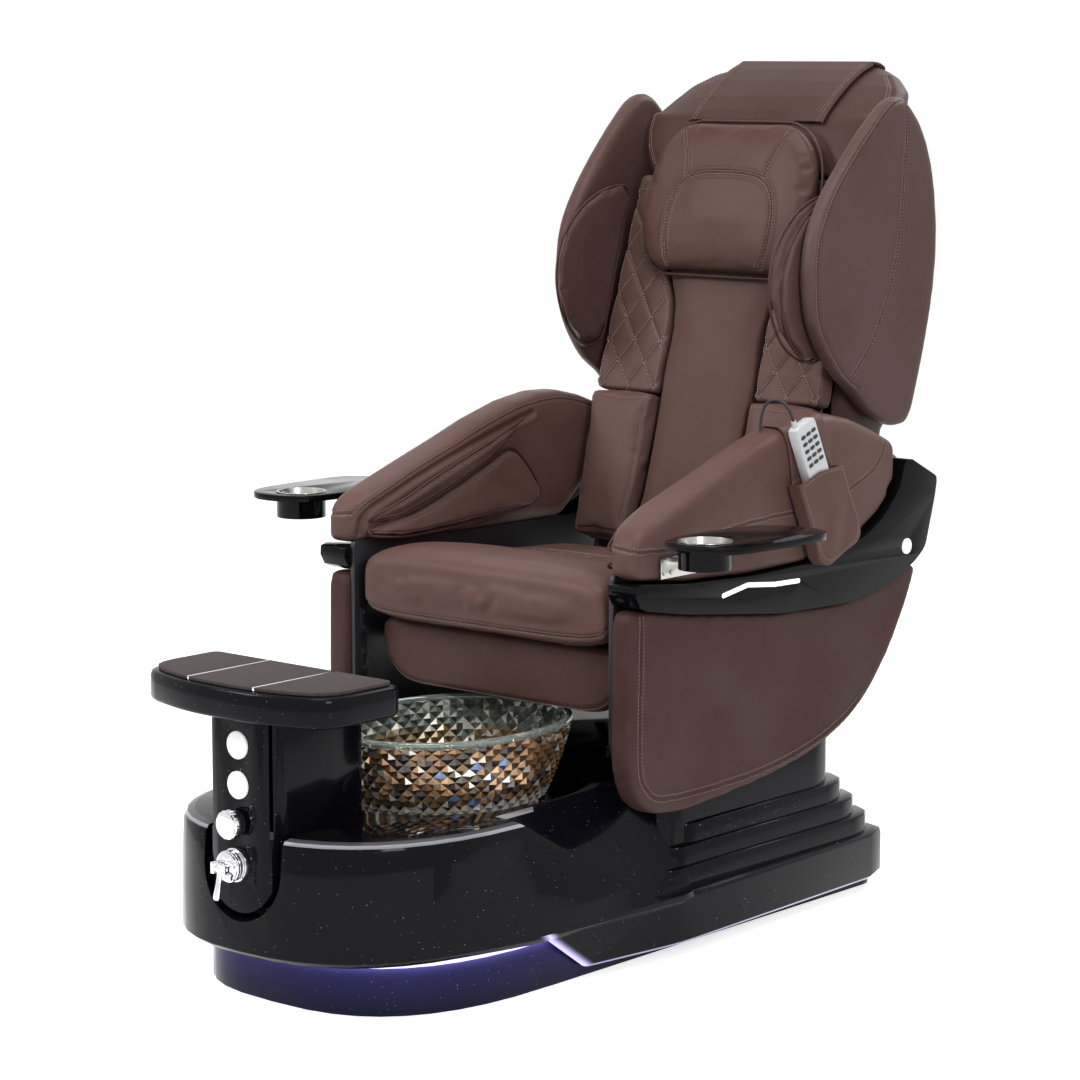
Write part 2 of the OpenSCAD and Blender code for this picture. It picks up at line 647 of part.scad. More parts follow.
module seat_frame() {
    color(steel) for (s = sides) {
        // carriers on the rails, with a tongue in each rail
        block([s * rail_x - 20, s * rail_x + 20], [40, 390], [rail_z + gap, rail_z + carrier_h]);
        block([s * rail_x - 4.5, s * rail_x + 4.5], [60, 370], [rail_z - 10, rail_z + carrier_h]);
        block([s * rail_x - 10, s * rail_x + 10], [60, 370], [rail_z - 13, rail_z - 6]);
        for (y = [60, 330]) block([s * rail_x - 15, s * rail_x + 15], [y, y + 40], [rail_z + carrier_h - 1, tube_z + 1]);
        // side tubes and the plates that carry the recline pins
        block([s * 200 - 20, s * 200 + 20], [-90, 430], [tube_z, tube_z + tube_h]);
        translate([s * 240, pivot_y, pivot_z]) tube_x(44, 10);
        block([s * 240 - 5, s * 240 + 5], [pivot_y - 100, pivot_y], [tube_z, pivot_z - 8]);
        block([s * 227 - 18, s * 227 + 18], [pivot_y - 100, pivot_y - 60], [tube_z, tube_z + 20]);
        translate([s * 231, pivot_y, pivot_z]) tube_x(pivot_d, 24);
    }
    // cross tubes to the inner panels, cushion board and the actuator's lugs
    color(steel) for (y = [-60, 150, 340]) block([gap - side_in, side_in - gap], [y, y + 30], [tube_z, tube_z + 26]);
    color(steel) block([28 - seat_hw, seat_hw - 28], [-90, 316], [tube_z + tube_h, seat_z - gap]);
    color(steel) difference() {
        for (s = sides) block([s * 28 - 3, s * 28 + 3], [act_y - 14, act_y + 14], [act_z - 14, tube_z + 2]);
        translate([0, act_y, act_z]) tube_x(10 + 2 * fit, 90);
    }
    color(steel) block([-60, 60], [act_y - 14, act_y + 14], [tube_z, tube_z + 20]);
    color(steel) block([-rail_x, rail_x], [60, 90], [tube_z, tube_z + 20]);
    // apron bracket
    color(steel) block([-200, 200], [-90, -84], [seat_z - 90, tube_z + 4]);
}
act_y = 75;                             // rear pivot of the recline actuator
act_z = 430;
lever_y = 440;                          // its front end, on the back frame's lever
lever_z = 430;
module recline_actuator() {
    color("#1d1d20") translate([0, act_y, act_z]) difference() {
        union() {
            tube_x(30, 40);
            translate([0, 10, 0]) tube_y(44, 190);
            block([-20, 20], [24, 90], [-58, -8]);
        }
        translate([0, 40, 0]) tube_y(22 + 2 * fit, 200);
    }
    color(brushed) translate([0, act_y, act_z]) tube_x(10, 72);
}
module recline_rod() {
    color(chrome) difference() {
        union() {
            translate([0, act_y + 90, act_z]) tube_y(22, lever_y - act_y - 104);
            translate([0, lever_y, lever_z]) tube_x(34, 20);
        }
        translate([0, lever_y, lever_z]) tube_x(20, 30);
    }
}

// ---- seat ----
function seat_ring(y, hw, z0, z1) = [for (p = oval(0, (z0 + z1) / 2, hw, (z1 - z0) / 2, 5, 36)) [p[0], y, p[1]]];
seat_top = seat_z + seat_h;
module seat_cushion() {
    roll_z = seat_z - roll_drop;
    color(leather) skin([seat_ring(-seat_front, seat_hw - 30, roll_z + 22, seat_top - 34),
        seat_ring(-seat_front + 3, seat_hw - 14, roll_z + 10, seat_top - 19),
        seat_ring(-seat_front + 14, seat_hw - 4, roll_z + 3, seat_top - 6),
        seat_ring(-seat_front + 40, seat_hw, roll_z, seat_top), seat_ring(-100, seat_hw, roll_z, seat_top),
        seat_ring(-94, seat_hw, seat_z, seat_top),
        seat_ring(-60, seat_hw, seat_z, seat_top - 2), seat_ring(10, seat_hw, seat_z, seat_top - 12),
        seat_ring(90, seat_hw - 8, seat_z, seat_top - 32), seat_ring(200, seat_hw - 8, seat_z, seat_top - 42),
        seat_ring(290, seat_hw - 8, seat_z, seat_top - 44), seat_ring(312, seat_hw - 16, seat_z + 10, seat_top - 56),
        seat_ring(318, seat_hw - 30, seat_z + 22, seat_top - 68)]);
}
apron_top = seat_z - roll_drop - gap;
apron_outline = rounded([[50 - apron_hw, apron_z, 60], [apron_hw - 50, apron_z, 60], [apron_hw, apron_top - 62, 50],
    [apron_hw, apron_top, 22], [-apron_hw, apron_top, 22], [-apron_hw, apron_top - 62, 50]], 3);
function apron_ring(y, d) = [for (p = drawn_in(apron_outline, d)) [p[0], y, p[1]]];
module apron_form(y0) {
    skin([apron_ring(y0, 12), apron_ring(y0 + 3, 7), apron_ring(y0 + 12, 2), apron_ring(y0 + 26, 0), apron_ring(-90 - gap, 0)]);
}
module seat_apron() { color(leather) apron_form(-134); }

// ---- sides and arms ----
trim_top = [[546, 786], [535, 731], [480, 680], [417, 649], [262, 626], [113, 623], [-52, 630], [-202, 646]];
trim_low = [[-190, 603], [-65, 581], [188, 550], [380, 544], [500, 560], [581, 593]];
function soft(c, r) = [for (p = c) [p[0], p[1], r]];
function lowered(c, d) = [for (p = c) [p[0], p[1] - d]];
function flipped(c) = [for (k = [len(c) - 1:-1:0]) c[k]];
trim_outline = rounded(concat(soft(trim_low, 24), [[612, 616, 10], [640, 708, 14], [645, 738, 8]], soft(trim_top, 24)));
panel_outline = rounded(concat([[-190, 540, 26], [-194, 440, 50], [-193, 335, 24], [-172, 283, 20], [-128, 256, 22],
    [-50, 250, 36], [52, 257, 40], [200, 272, 50], [307, 293, 40], [400, 328, 28], [463, 369, 28], [526, 436, 38],
    [582, 525, 38], [606, 580, 10], [584, 589, 9]],
    [for (k = [len(trim_low) - 2:-1:0]) [trim_low[k][0], trim_low[k][1] - gap - 0.2, 24]]));
module side_panel(s) { color(leather) on_side(s) padded(panel_outline, panel_x - panel_t, panel_x, 6, flat = false); }
module side_panel_left() { side_panel(-1); }
module side_panel_right() { side_panel(1); }
arm_floor = 653;                        // underside of the arms beside the cushion
inner_outline = rounded([[-182, 350, 30], [-110, 300, 40], [300, 330, 60], [420, 380, 60], [520, 500, 40], [540, 580, 20],
    [500, 630, 20], [440, 639, 10], [60, 639, 40], [-45, arm_floor - gap, 20], [-182, arm_floor - gap, 10]]);
module inner_panels() {
    color("#101014") for (s = sides) on_side(s) translate([0, 0, side_in]) linear_extrude(inner_t) polygon(inner_outline);
    // corner brackets with their screws
    color(brushed) for (s = sides, z = [490, 420]) on_side(s) translate([-168, z, side_in - 3]) {
        linear_extrude(3) square([16, 44]);
        for (k = [8, 36]) translate([8, k, -3]) cylinder(d = 9, h = 3.5, $fn = 24);
    }
}
trim_in = panel_x - panel_t;
module side_trim(s) {
    color(gloss) on_side(s) translate([0, 0, trim_in]) linear_extrude(trim_x - trim_in) polygon(trim_outline);
}
module side_trim_left() { difference() { side_trim(-1); trim_sockets(-1); } }
module side_trim_right() { difference() { side_trim(1); trim_sockets(1); } }
cap_at = [553, 623];
bar_points = [[30, 600], [95, 610], [170, 602], [236, 600]];
module bar_shape(d) {
    for (k = [0:2]) hull() for (p = [bar_points[k], bar_points[k + 1]]) translate(p) circle(d = d, $fn = 24);
}
bar_w = 8;
module trim_sockets(s) {
    on_side(s) translate([cap_at[0], cap_at[1], trim_x - 4]) cylinder(d = cap_d + 0.6, h = 10, $fn = 64);
    on_side(s) translate([0, 0, trim_x - 3]) linear_extrude(10) bar_shape(bar_w + 0.6);
}
module light_bars() {
    color("white") for (s = sides) on_side(s) translate([0, 0, trim_x - 3]) linear_extrude(3.5) bar_shape(bar_w);
}
module screw_caps() {
    color("#e8e8ea") for (s = sides) on_side(s) translate([cap_at[0], cap_at[1], trim_x - 4])
        cylinder(d = cap_d, h = 6, $fn = 64);
}
// Cross-section of an arm at y, between heights z0 and z1; d draws it in, e draws its inner side in
function arm_ring(s, y, z0, z1, out, d = 0, e = 0) = [for (p = oval((arm_in + e + out) / 2, (z0 + z1) / 2,
    (out - arm_in - e) / 2 - d, (z1 - z0) / 2 - d * 0.6, 4.5, 28)) [s * p[0], y, p[1]]];
arm_stations = [[-190, 690, 14, 34], [-186, 704, 6, 28], [-175, 719, 1, 20], [-155, 732, 0, 11], [-125, 744, 0, 4],
    [-90, 757, 0, 0], [-41, 774, 0, 0], [60, 809, 0, 0], [134, 836, 0, 0], [225, 862, 0, 0], [300, 873, 0, 0],
    [354, 872, 0, 0], [409, 860, 0, 0], [470, 838, 0, 0]];
function skirt_ring(s, y, z0, d = 0) = [for (p = oval((trim_in + arm_x) / 2, (z0 + arm_floor + 14) / 2, (arm_x - trim_in) / 2 - d,
    (arm_floor + 14 - z0) / 2 - d / 2, 6, 20)) [s * p[0], y, p[1]]];
module arm(s) {
    color(leather) union() {
        skin(concat([for (a = arm_stations)
            arm_ring(s, a[0], a[0] < 60 ? arm_floor : (a[0] > 400 ? 690 : 640), a[1], arm_x, a[2], a[3])],
            [arm_ring(s, 526, 736, 812, arm_x), arm_ring(s, 531, 734, 808, trim_in - gap),
            arm_ring(s, 600, 712, 780, trim_in - gap), arm_ring(s, 640, 706, 760, trim_in - gap, 4),
            arm_ring(s, 652, 706, 754, trim_in - gap, 12)]));
        skin([skirt_ring(s, -188, 655, 8), skirt_ring(s, -180, 648.6), skirt_ring(s, -120, 641), skirt_ring(s, -52, 632),
            skirt_ring(s, 30, 629), skirt_ring(s, 113, 625), skirt_ring(s, 262, 628), skirt_ring(s, 340, 640),
            skirt_ring(s, 400, 650, 2)]);
        skin([for (a = [[330, 642], [417, 654], [450, 671], [480, 687], [508, 712]]) [for (p = oval((trim_in + arm_x) / 2,
            (a[1] + 780) / 2, (arm_x - trim_in) / 2 - 1, (780 - a[1]) / 2, 6, 20)) [s * p[0], a[0], p[1]]]]);
    }
}
module arm_left() { arm(-1); }
module arm_right() { arm(1); }
flap_outline = rounded([[-172, 664, 16], [-60, 655, 40], [100, 653, 60], [284, 672, 30], [312, 740, 40], [262, 822, 30],
    [60, 766, 60], [-110, 704, 40], [-172, 684, 12]]);
module arm_airbags() {
    color(leather) for (s = sides) on_side(s) translate([0, 0, arm_in - gap]) mirror([0, 0, 1])
        padded(flap_outline, 0, flap_t - 8, 7, 8);
}

// ---- trays ----
hinge_y = -80;
hinge_w = 70;
cup_at_xy = [tray_axis_x + 74, -144];
tray_outline = rounded([for (p = [[10, -40, 50], [10, -150, 50], [32, -206, 50], [118, -214, 50], [160, -178, 50],
    [174, -60, 70], [170, 56, 50], [132, 88, 40], [70, 84, 40], [22, 44, 36]]) [p[0] + tray_axis_x, p[1], p[2]]]);
module mirrored(s) { if (s > 0) children(); else mirror([1, 0, 0]) children(); }
module tray(s) {
    color(gloss) mirrored(s) {
        difference() {
            union() {
                translate([0, 0, tray_z - tray_t]) linear_extrude(tray_t) polygon(tray_outline);
                translate([cup_at_xy[0], cup_at_xy[1], tray_z - cup_depth - 4]) cylinder(d = cup_d + 8, h = cup_depth, $fn = 64);
            }
            translate([cup_at_xy[0], cup_at_xy[1], tray_z - cup_depth])
                cylinder(d = cup_d + 2 * fit + 2, h = cup_depth + 4, $fn = 64);
        }
        // hinge leaf, knuckle and pin's bore
        translate([0, hinge_y, 0]) difference() {
            union() {
                block([tray_axis_x, tray_axis_x + 60], [-hinge_w / 2 + 14.3, hinge_w / 2 - 14.3],
                    [tray_z - tray_t - 4, tray_z - tray_t + 2]);
                translate([tray_axis_x, -hinge_w / 2 + 14.3, tray_axis_z]) tube_y(13, hinge_w - 28.6);
            }
            translate([tray_axis_x, -hinge_w, tray_axis_z]) tube_y(6 + 2 * fit, 2 * hinge_w);
        }
    }
}
module tray_left() { tray(-1); }
module tray_right() { tray(1); }
module cup(s) {
    color(brushed) mirrored(s) translate([cup_at_xy[0], cup_at_xy[1], 0]) difference() {
        union() {
            translate([0, 0, tray_z - cup_depth]) cylinder(d = cup_d + 2, h = cup_depth, $fn = 64);
            translate([0, 0, tray_z]) cylinder(d = cup_d + 10, h = 1.5, $fn = 64);
        }
        translate([0, 0, tray_z - cup_depth + 1.5]) cylinder(d = cup_d, h = cup_depth + 4, $fn = 64);
    }
}
module cup_left() { cup(-1); }
module cup_right() { cup(1); }
module tray_brackets() {
    color("#b9b3a4") for (s = sides) mirrored(s) translate([0, hinge_y, 0]) {
        block([arm_x + gap, arm_x + 4], [-hinge_w / 2 - 14, hinge_w / 2 + 14], [646, 680]);
        for (y = [-hinge_w / 2 - 6, -hinge_w / 2 + 12, hinge_w / 2 - 12, hinge_w / 2 + 6])
            translate([arm_x + 3, y, 655]) rotate([0, 90, 0]) cylinder(d = 8, h = 4, $fn = 24);
        for (k = sides) difference() {
            union() {
                block([arm_x + 3, tray_axis_x], [k * (hinge_w / 2 - 7) - 6, k * (hinge_w / 2 - 7) + 6], [674, 680]);
                block([tray_axis_x - 6, tray_axis_x + 6], [k * (hinge_w / 2 - 7) - 6, k * (hinge_w / 2 - 7) + 6],
                    [674, tray_axis_z]);
                translate([tray_axis_x, k * (hinge_w / 2 - 7) - 6, tray_axis_z]) tube_y(12, 12);
            }
        }
        translate([tray_axis_x, -hinge_w / 2 - 6, tray_axis_z]) tube_y(6, hinge_w + 12);
        for (k = sides) translate([tray_axis_x, k * (hinge_w / 2 + 4) - 3, tray_axis_z]) tube_y(11, 6);
    }
}

// ---- pouch and remote ----
// Frame at the middle of the pouch's mouth: x along the width, y out of the side, z up the pouch
pouch_lean = 22;
pouch_out = 3;
pouch_in = remote_t + 2.4;
pouch_at = [arm_x + pouch_in + 2 * pouch_wall + 2, 262, 786];
module on_pouch() {
    translate(pouch_at) rotate([pouch_lean, 0, 0]) rotate([0, -pouch_out, 0]) rotate([0, 0, -90]) children();
}
remote_foot = remote_out - remote_l;    // lower end of the remote, from the pouch's mouth
module pouch() {
    color(leather) on_pouch() difference() {
        translate([-pouch_w / 2, -pouch_in - pouch_wall, -pouch_h])
            cube([pouch_w, pouch_in + 2 * pouch_wall, pouch_h]);
        translate([pouch_wall - pouch_w / 2, -pouch_in, remote_foot - gap])
            cube([pouch_w - 2 * pouch_wall, pouch_in, pouch_h]);
    }
    // band over the arm, sloping with the arm's top
    color(leather) translate([0, pouch_at[1], arm_crest]) rotate([band_slope, 0, 0]) rotate([90, 0, 0])
        linear_extrude(112, center = true) {
            intersection() {
                difference() {
                    polygon(oval(arm_mid, -crest_hh, arm_hw + 4, crest_hh + 3.4, 4.5, 28));
                    polygon(oval(arm_mid, -crest_hh, arm_hw + 1, crest_hh + 0.4, 4.5, 28));
                }
                block2([arm_mid - 14, arm_x + 9], [-92, 20]);
            }
            polygon([[arm_x + 1, -86], [arm_x + 4, -60], [arm_x + 5, -80], [arm_x + 7.8, -122], [arm_x + 2, -122]]);
        }
}
arm_mid = (arm_in + arm_x) / 2;
arm_hw = (arm_x - arm_in) / 2;
arm_crest = 867.6;                      // top of the arm at the pouch
crest_hh = 113.7;                       // half height of the arm there
band_slope = 8.3;
module remote_body() {
    color("#5c5e62") on_pouch() translate([0, -pouch_in + 1.2, remote_foot]) {
        translate([0, remote_t, 0]) rotate([90, 0, 0]) padded(rounded([[-remote_w / 2, 0, 8], [remote_w / 2, 0, 8],
            [remote_w / 2, remote_l, 10], [-remote_w / 2, remote_l, 10]]), 0, remote_t, 3);
        translate([remote_w / 2 - 12, remote_t / 2, remote_l - 1]) cylinder(d = 9, h = 12, $fn = 32);
    }
}
module remote_keys() {
    color("#1a1a1c") on_pouch() translate([0, -pouch_in + 1.2 + remote_t, remote_out]) for (r = [0:4], c = [-1, 0, 1])
        translate([c * 15, 1.2, -20 - r * 13]) rotate([90, 0, 0]) linear_extrude(1.2) {
            block2([-3, 3], [-3.2, 3.2]);
            for (k = sides) translate([k * 3, 0]) circle(d = 6.4, $fn = 24);
        }
}
// Cord from the remote's top, over the arm's crest and down into it
cord_route = [for (p = [[12.9, 209.5, 873.3], [12.4, 205.8, 882], [10, 200, 894], [3, 195, 904], [-9, 191, 909],
    [-23, 190, 905], [-33, 190, 896], [-39, 190, 880], [-41, 190, 866], [-41, 190, 854]]) [arm_x + p[0], p[1], p[2]]];
function ring_dir(r, k) = unit(r[min(k + 1, len(r) - 1)] - r[max(k - 1, 0)]);
function cord_ring(r, k, d, n) = let (t = ring_dir(r, k), u = unit(cross(t, [0, 1, 0.01])), v = cross(t, u))
    [for (i = [0:n - 1]) r[k] + d / 2 * (cos(360 * i / n) * u + sin(360 * i / n) * v)];
module remote_cord() {
    color("#111111") skin([for (k = [0:len(cord_route) - 1]) cord_ring(cord_route, k, cord_d, 10)]);
}

// ---- backrest ----
pivot_back = [cos(back_tilt) * (pivot_z - back_foot[2]) + sin(back_tilt) * (pivot_y - back_foot[1]),
    sin(back_tilt) * (pivot_z - back_foot[2]) - cos(back_tilt) * (pivot_y - back_foot[1])];
pad_back = -46;                         // rear face of the back pads
frame_x = 215;
module back_frame() {
    color(steel) on_back() {
        for (s = sides) {
            block([s * frame_x - 15, s * frame_x + 15], [4, 690], [-140, -108]);
            // pivot lugs
            difference() {
                union() {
                    translate([s * 228, pivot_back[0], pivot_back[1]]) tube_x(46, 10);
                    block([s * 228 - 5, s * 228 + 5], [pivot_back[0], 60], [pivot_back[1] - 14, pivot_back[1] + 22]);
                }
                translate([s * 228, pivot_back[0], pivot_back[1]]) tube_x(pivot_d + 2 * fit, 20);
            }
            // stand-offs to the pad board and out to the wings
            for (v = [30, 360, 660]) block([s * frame_x - 10, s * frame_x + 10], [v, v + 24], [-109, pad_back - 5]);
            for (v = [390, 520])
                block([min(s * frame_x, s * cover_in), max(s * frame_x, s * cover_in)], [v, v + 30], [-138, -112]);
            // massage rails
            translate([s * massage_x, 40, -118]) tube_y(14, 640);
        }
        for (v = [20, 330, 668]) block([-frame_x, frame_x], [v, v + 26], [-142, -134]);
        for (v = [40, 668]) block([-massage_x - 10, massage_x + 10], [v, v + 12], [-138, -110]);
        // pad board with the slot that the rollers reach through
        translate([0, 0, pad_back - gap - 6]) linear_extrude(6) difference() {
            polygon([[-232, 14], [232, 14], [232, 640], [200, 690], [190, 798], [-190, 798], [-200, 690], [-232, 640]]);
            block2([-78, 78], [70, 640]);
        }
        lever();
    }
}
// Half outlines of the back's pads, [half width, height up the back], from low to high
centre_half = [[114, 12], [105, 130], [105, 220], [109, 320], [107, 410], [113, 455], [138, 510], [152, 560], [160, 690]];
module lever() {
    for (s = sides) block([s * 15 - 3, s * 15 + 3], [lever_back[0] - 13, 40], [lever_back[1] - 13, lever_back[1] + 13]);
    translate([0, lever_back[0], lever_back[1]]) tube_x(12, 36);
}
lever_back = [cos(back_tilt) * (lever_z - back_foot[2]) + sin(back_tilt) * (lever_y - back_foot[1]),
    sin(back_tilt) * (lever_z - back_foot[2]) - cos(back_tilt) * (lever_y - back_foot[1])];
function pad_outline(r) = let (h = centre_half, n = len(h)) concat(
    [for (k = [0:n - 1]) [h[k][0], h[k][1], k == 0 ? r : 30]],
    [for (k = [n - 1:-1:0]) [-h[k][0], h[k][1], k == 0 ? r : 30]]);
module back_pad() {
    color(leather) on_back() padded(rounded(pad_outline(10)), pad_back, -6, 6, 6);
}
// Panel beside the centre pad, between heights v0 and v1, out to half width out
function beside(v0, v1, out0, out1) = let (edge = [for (p = centre_half) if (p[1] > v0 + 8 && p[1] < v1 - 8) p])
    concat([[out0, v0, 14], [out1, v1, 14], [half_at(v1) + 1.2, v1, 4]],
        [for (p = flipped(edge)) [p[0] + 1.2, p[1], 20]], [[half_at(v0) + 1.2, v0, 4]]);
function half_at(v) = lookup(v, [for (p = centre_half) [p[1], p[0]]]);
lumbar_top = 286;
module quilted_panels() {
    color(leather) on_back() for (s = sides) mirrored(s)
        padded(rounded(beside(lumbar_top + gap, 690, 254, 236)), pad_back, -8, 4, 3);
}
module lumbar_pads() {
    color(leather) on_back() for (s = sides) mirrored(s)
        padded(rounded(beside(12, lumbar_top, 238, 254)), pad_back, 8, 10, 8);
}
// Cross-section of the back's cover at height v: half width, front and rear
function cover_ring(v, hw, front, rear, d = 0) = [for (p = oval(0, (front + rear) / 2, hw - d, (front - rear) / 2 - d, 5, 32))
    [p[0], v, p[1]]];
wing_in = wing_x - wing_t;                // inner face of the wings, where they are flat
cover_wall = 5;
cover_in = wing_in - gap - cover_wall - 2; // reach of the frame's brackets, to the cover's inner face
cover_stations = [[-8, back_hw, -54, -226], [60, back_hw, -54, -236], [200, back_hw, -54, -back_depth],
    [286, back_hw, -54, -back_depth],
    [306, wing_in - gap, -54, -back_depth], [560, wing_in - gap, -54, -back_depth], [650, 256, -54, -228], [720, 244, -54, -205],
    [775, 228, -54, -172], [808, 205, -54, -132]];
module back_cover() {
    color("#2b2523") on_back() difference() {
        skin([for (c = cover_stations) cover_ring(c[0], c[1], c[2], c[3])]);
        skin(concat([cover_ring(-9, back_hw, -54, -226, cover_wall)],
            [for (k = [1:len(cover_stations) - 2]) let (c = cover_stations[k]) cover_ring(c[0], c[1], c[2], c[3], cover_wall)],
            [cover_ring(800, 208, -54, -140, cover_wall)]));
        // open front behind the pads
        block([-236, 236], [-20, 690], [-84, -40]);
    }
}
wing_points = [[-226, 292], [-150, 286], [-90, 296], [-50, 322], [0, 334], [52, 368], [96, 410], [120, 465], [134, 520],
    [134, 572], [112, 644], [82, 704], [48, 766], [8, 828], [-30, 852], [-100, 824], [-160, 760], [-207, 660],
    [-230, 560], [-234, 440]];
// The wings turn in towards the sitter at their front edge
function wing_shift(w) = 9 * ease((w + 20) / 156);
module leaf(points, x1, t, r, n = 2) {
    o = rounded([for (p = points) [p[0], p[1], 46]], n);
    c = middle(o);
    edge = [[1, 0], [0.3, 0.3], [0, 1]];
    rings = concat([[shrunk(o, c, 0.5), -t]],
        [for (e = edge) [drawn_in(o, r * e[0]), r * e[1] - t]],
        [for (e = flipped(edge)) [drawn_in(o, r * e[0]), -r * e[1]]],
        [[shrunk(o, c, 0.5), 0]]);
    skin([for (q = rings) [for (p = q[0]) [x1 - wing_shift(p[0]) + q[1], p[1], p[0]]]], false);
}
module wing(s) { color(leather) on_back() mirrored(s) leaf(wing_points, wing_x, wing_t, 12); }
module wing_left() { wing(-1); }
module wing_right() { wing(1); }
shoulder_points = [[2, 376], [36, 350], [84, 362], [124, 400], [148, 452], [152, 510], [134, 566], [98, 616],
    [50, 650], [2, 664], [2, 520]];
module shoulder_pads() {
    color(leather) on_back() for (s = sides, k = [0, 1]) mirrored(s) translate([0, k * 6, 0])
        leaf([for (p = shoulder_points) [p[0] * (1 + 0.17 * k), p[1]]], wing_in - 4.6 - k * (9 + gap), 9, 4, 1);
}
// Rings of the head cushion: height up the back, half width, front and rear
head_ring_of = [[694, 224, -8, pad_back], [740, 250, -9, pad_back], [780, 259, -14, pad_back],
    [809, 261, -27, pad_back], [812, 260, -28, -90], [845, 254, -50, -150], [880, 237, -78, -170],
    [910, 202, -108, -176], [927, 166, -132, -172], [933, 134, -142, -164]];
module head_cushion() {
    color(leather) on_back() skin([for (h = head_ring_of) [for (p = oval(0, (h[2] + h[3]) / 2, h[1], (h[2] - h[3]) / 2, 3.2, 40))
        [p[0], h[0], p[1]]]]);
}
module head_band() {
    path = [[792, -16], [812, -26], [845, -48.5], [880, -76.5], [910, -106.5], [932.5, -134], [936.5, -154],
        [936, -168], [908, -184]];
    outer = [for (k = [0:len(path) - 1]) let (t = ring_dir(path, k)) path[k] + 6 * [-t[1], t[0]]];
    color(leather) on_back() rotate([0, -90, 0]) mirror([0, 0, 1]) translate([0, 0, -band_hw]) linear_extrude(2 * band_hw)
        polygon([for (p = concat(path, flipped(outer))) [p[1], p[0]]]);
}
pillow_low = 501;
module pillow() {
    hw = pillow_hw;
    o = rounded([[-hw + 50, pillow_low, 70], [hw - 50, pillow_low, 70], [hw - 8, pillow_low + 60, 60], [hw, pillow_low + 140, 60],
        [hw - 14, pillow_low + 230, 60], [hw - 70, pillow_low + pillow_h, 90], [-hw + 70, pillow_low + pillow_h, 90],
        [-hw + 14, pillow_low + 230, 60], [-hw, pillow_low + 140, 60], [-hw + 8, pillow_low + 60, 60]], 3);
    color(leather) on_back() padded(o, -1.3, pillow_t - 12, 14, 12);
}
carriage_v = 110;
module massage_carriage() {
    color("#26262a") on_back() translate([0, carriage_v, -118]) {
        difference() {
            union() {
                block([-massage_x + 12, massage_x - 12], [-50, 50], [-14, 22]);
                for (s = sides, v = [-44, 24]) translate([s * massage_x, v, 0]) tube_y(24, 20);
                for (s = sides, v = [-44, 24]) block([s * (massage_x - 10) - 4, s * (massage_x - 10) + 4], [v, v + 20], [-9, 9]);
            }
            for (s = sides) translate([s * massage_x, -60, 0]) tube_y(14 + 2 * fit, 120);
        }
        // roller arms and their axle ends
        for (s = sides, v = sides) {
            block([s * 40 - 16 - 5, s * 40 - 16 + 1], [v * 30 - 8, v * 30 + 8], [20, 52]);
            translate([s * 40 - 6, v * 30, 44]) tube_x(8, 30);
        }
    }
    color("#b08968") on_back() translate([0, carriage_v, -118]) for (s = sides, v = sides)
        translate([s * 40, v * 30, 44]) difference() {
            tube_x(44, 18);
            tube_x(8 + 2 * fit, 30);
        }
}

plinth();
led_strip();
base_shell();
control_tower();
footrest_shell();
footrest_pads();
footrest_strips();
bowl();
drain_body();
drain_stopper();
jet_motor();
jet_impeller();
jet_cover();
filler_spout();
mixer_valve();
mixer_cap();
mixer_lever();
diverter_valve();
diverter_knob();
button_upper();
button_lower();
water_stubs();
pedestal_frame();
slide_rails();
seat_frame();
seat_cushion();
seat_apron();
side_panel_left();
side_panel_right();
inner_panels();
side_trim_left();
side_trim_right();
light_bars();
screw_caps();
arm_left();
arm_right();
arm_airbags();
pouch();
tray_brackets();
tray_left();
tray_right();
cup_left();
cup_right();
back_frame();
back_cover();
back_pad();
quilted_panels();
lumbar_pads();
wing_left();
wing_right();
shoulder_pads();
head_cushion();
head_band();
pillow();
massage_carriage();
remote_body();
remote_keys();
remote_cord();
recline_actuator();
recline_rod();
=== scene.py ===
import json
import math
import random

import bpy
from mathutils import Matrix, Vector, kdtree
from mathutils.bvhtree import BVHTree

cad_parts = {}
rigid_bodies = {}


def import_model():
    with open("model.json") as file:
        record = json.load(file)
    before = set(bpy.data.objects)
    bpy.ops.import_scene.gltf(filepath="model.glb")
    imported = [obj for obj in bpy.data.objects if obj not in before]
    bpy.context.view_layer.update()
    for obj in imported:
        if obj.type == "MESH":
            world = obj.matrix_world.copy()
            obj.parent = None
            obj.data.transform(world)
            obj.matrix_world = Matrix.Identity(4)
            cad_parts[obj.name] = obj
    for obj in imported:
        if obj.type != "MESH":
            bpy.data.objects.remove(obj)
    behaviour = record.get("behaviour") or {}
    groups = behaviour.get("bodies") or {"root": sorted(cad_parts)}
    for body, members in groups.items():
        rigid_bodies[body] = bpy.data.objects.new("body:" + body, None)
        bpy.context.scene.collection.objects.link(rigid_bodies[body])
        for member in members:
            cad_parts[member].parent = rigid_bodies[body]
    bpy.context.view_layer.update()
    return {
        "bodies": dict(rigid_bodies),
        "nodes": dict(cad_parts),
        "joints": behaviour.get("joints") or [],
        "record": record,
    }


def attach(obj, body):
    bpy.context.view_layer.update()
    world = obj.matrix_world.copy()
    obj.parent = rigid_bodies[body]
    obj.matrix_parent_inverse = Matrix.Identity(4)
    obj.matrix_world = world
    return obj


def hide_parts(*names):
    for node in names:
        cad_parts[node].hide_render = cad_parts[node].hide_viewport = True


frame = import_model()
nodes = frame["nodes"]
scene = bpy.context.scene
scene.view_settings.view_transform = "Standard"
mm = 0.001
lean = math.radians(16)  # the backrest's angle from upright
sides = ((-1, "Left"), (1, "Right"))
# ---- places ----
def pt(x, y, z):
    return Vector((x * mm, y * mm, z * mm))


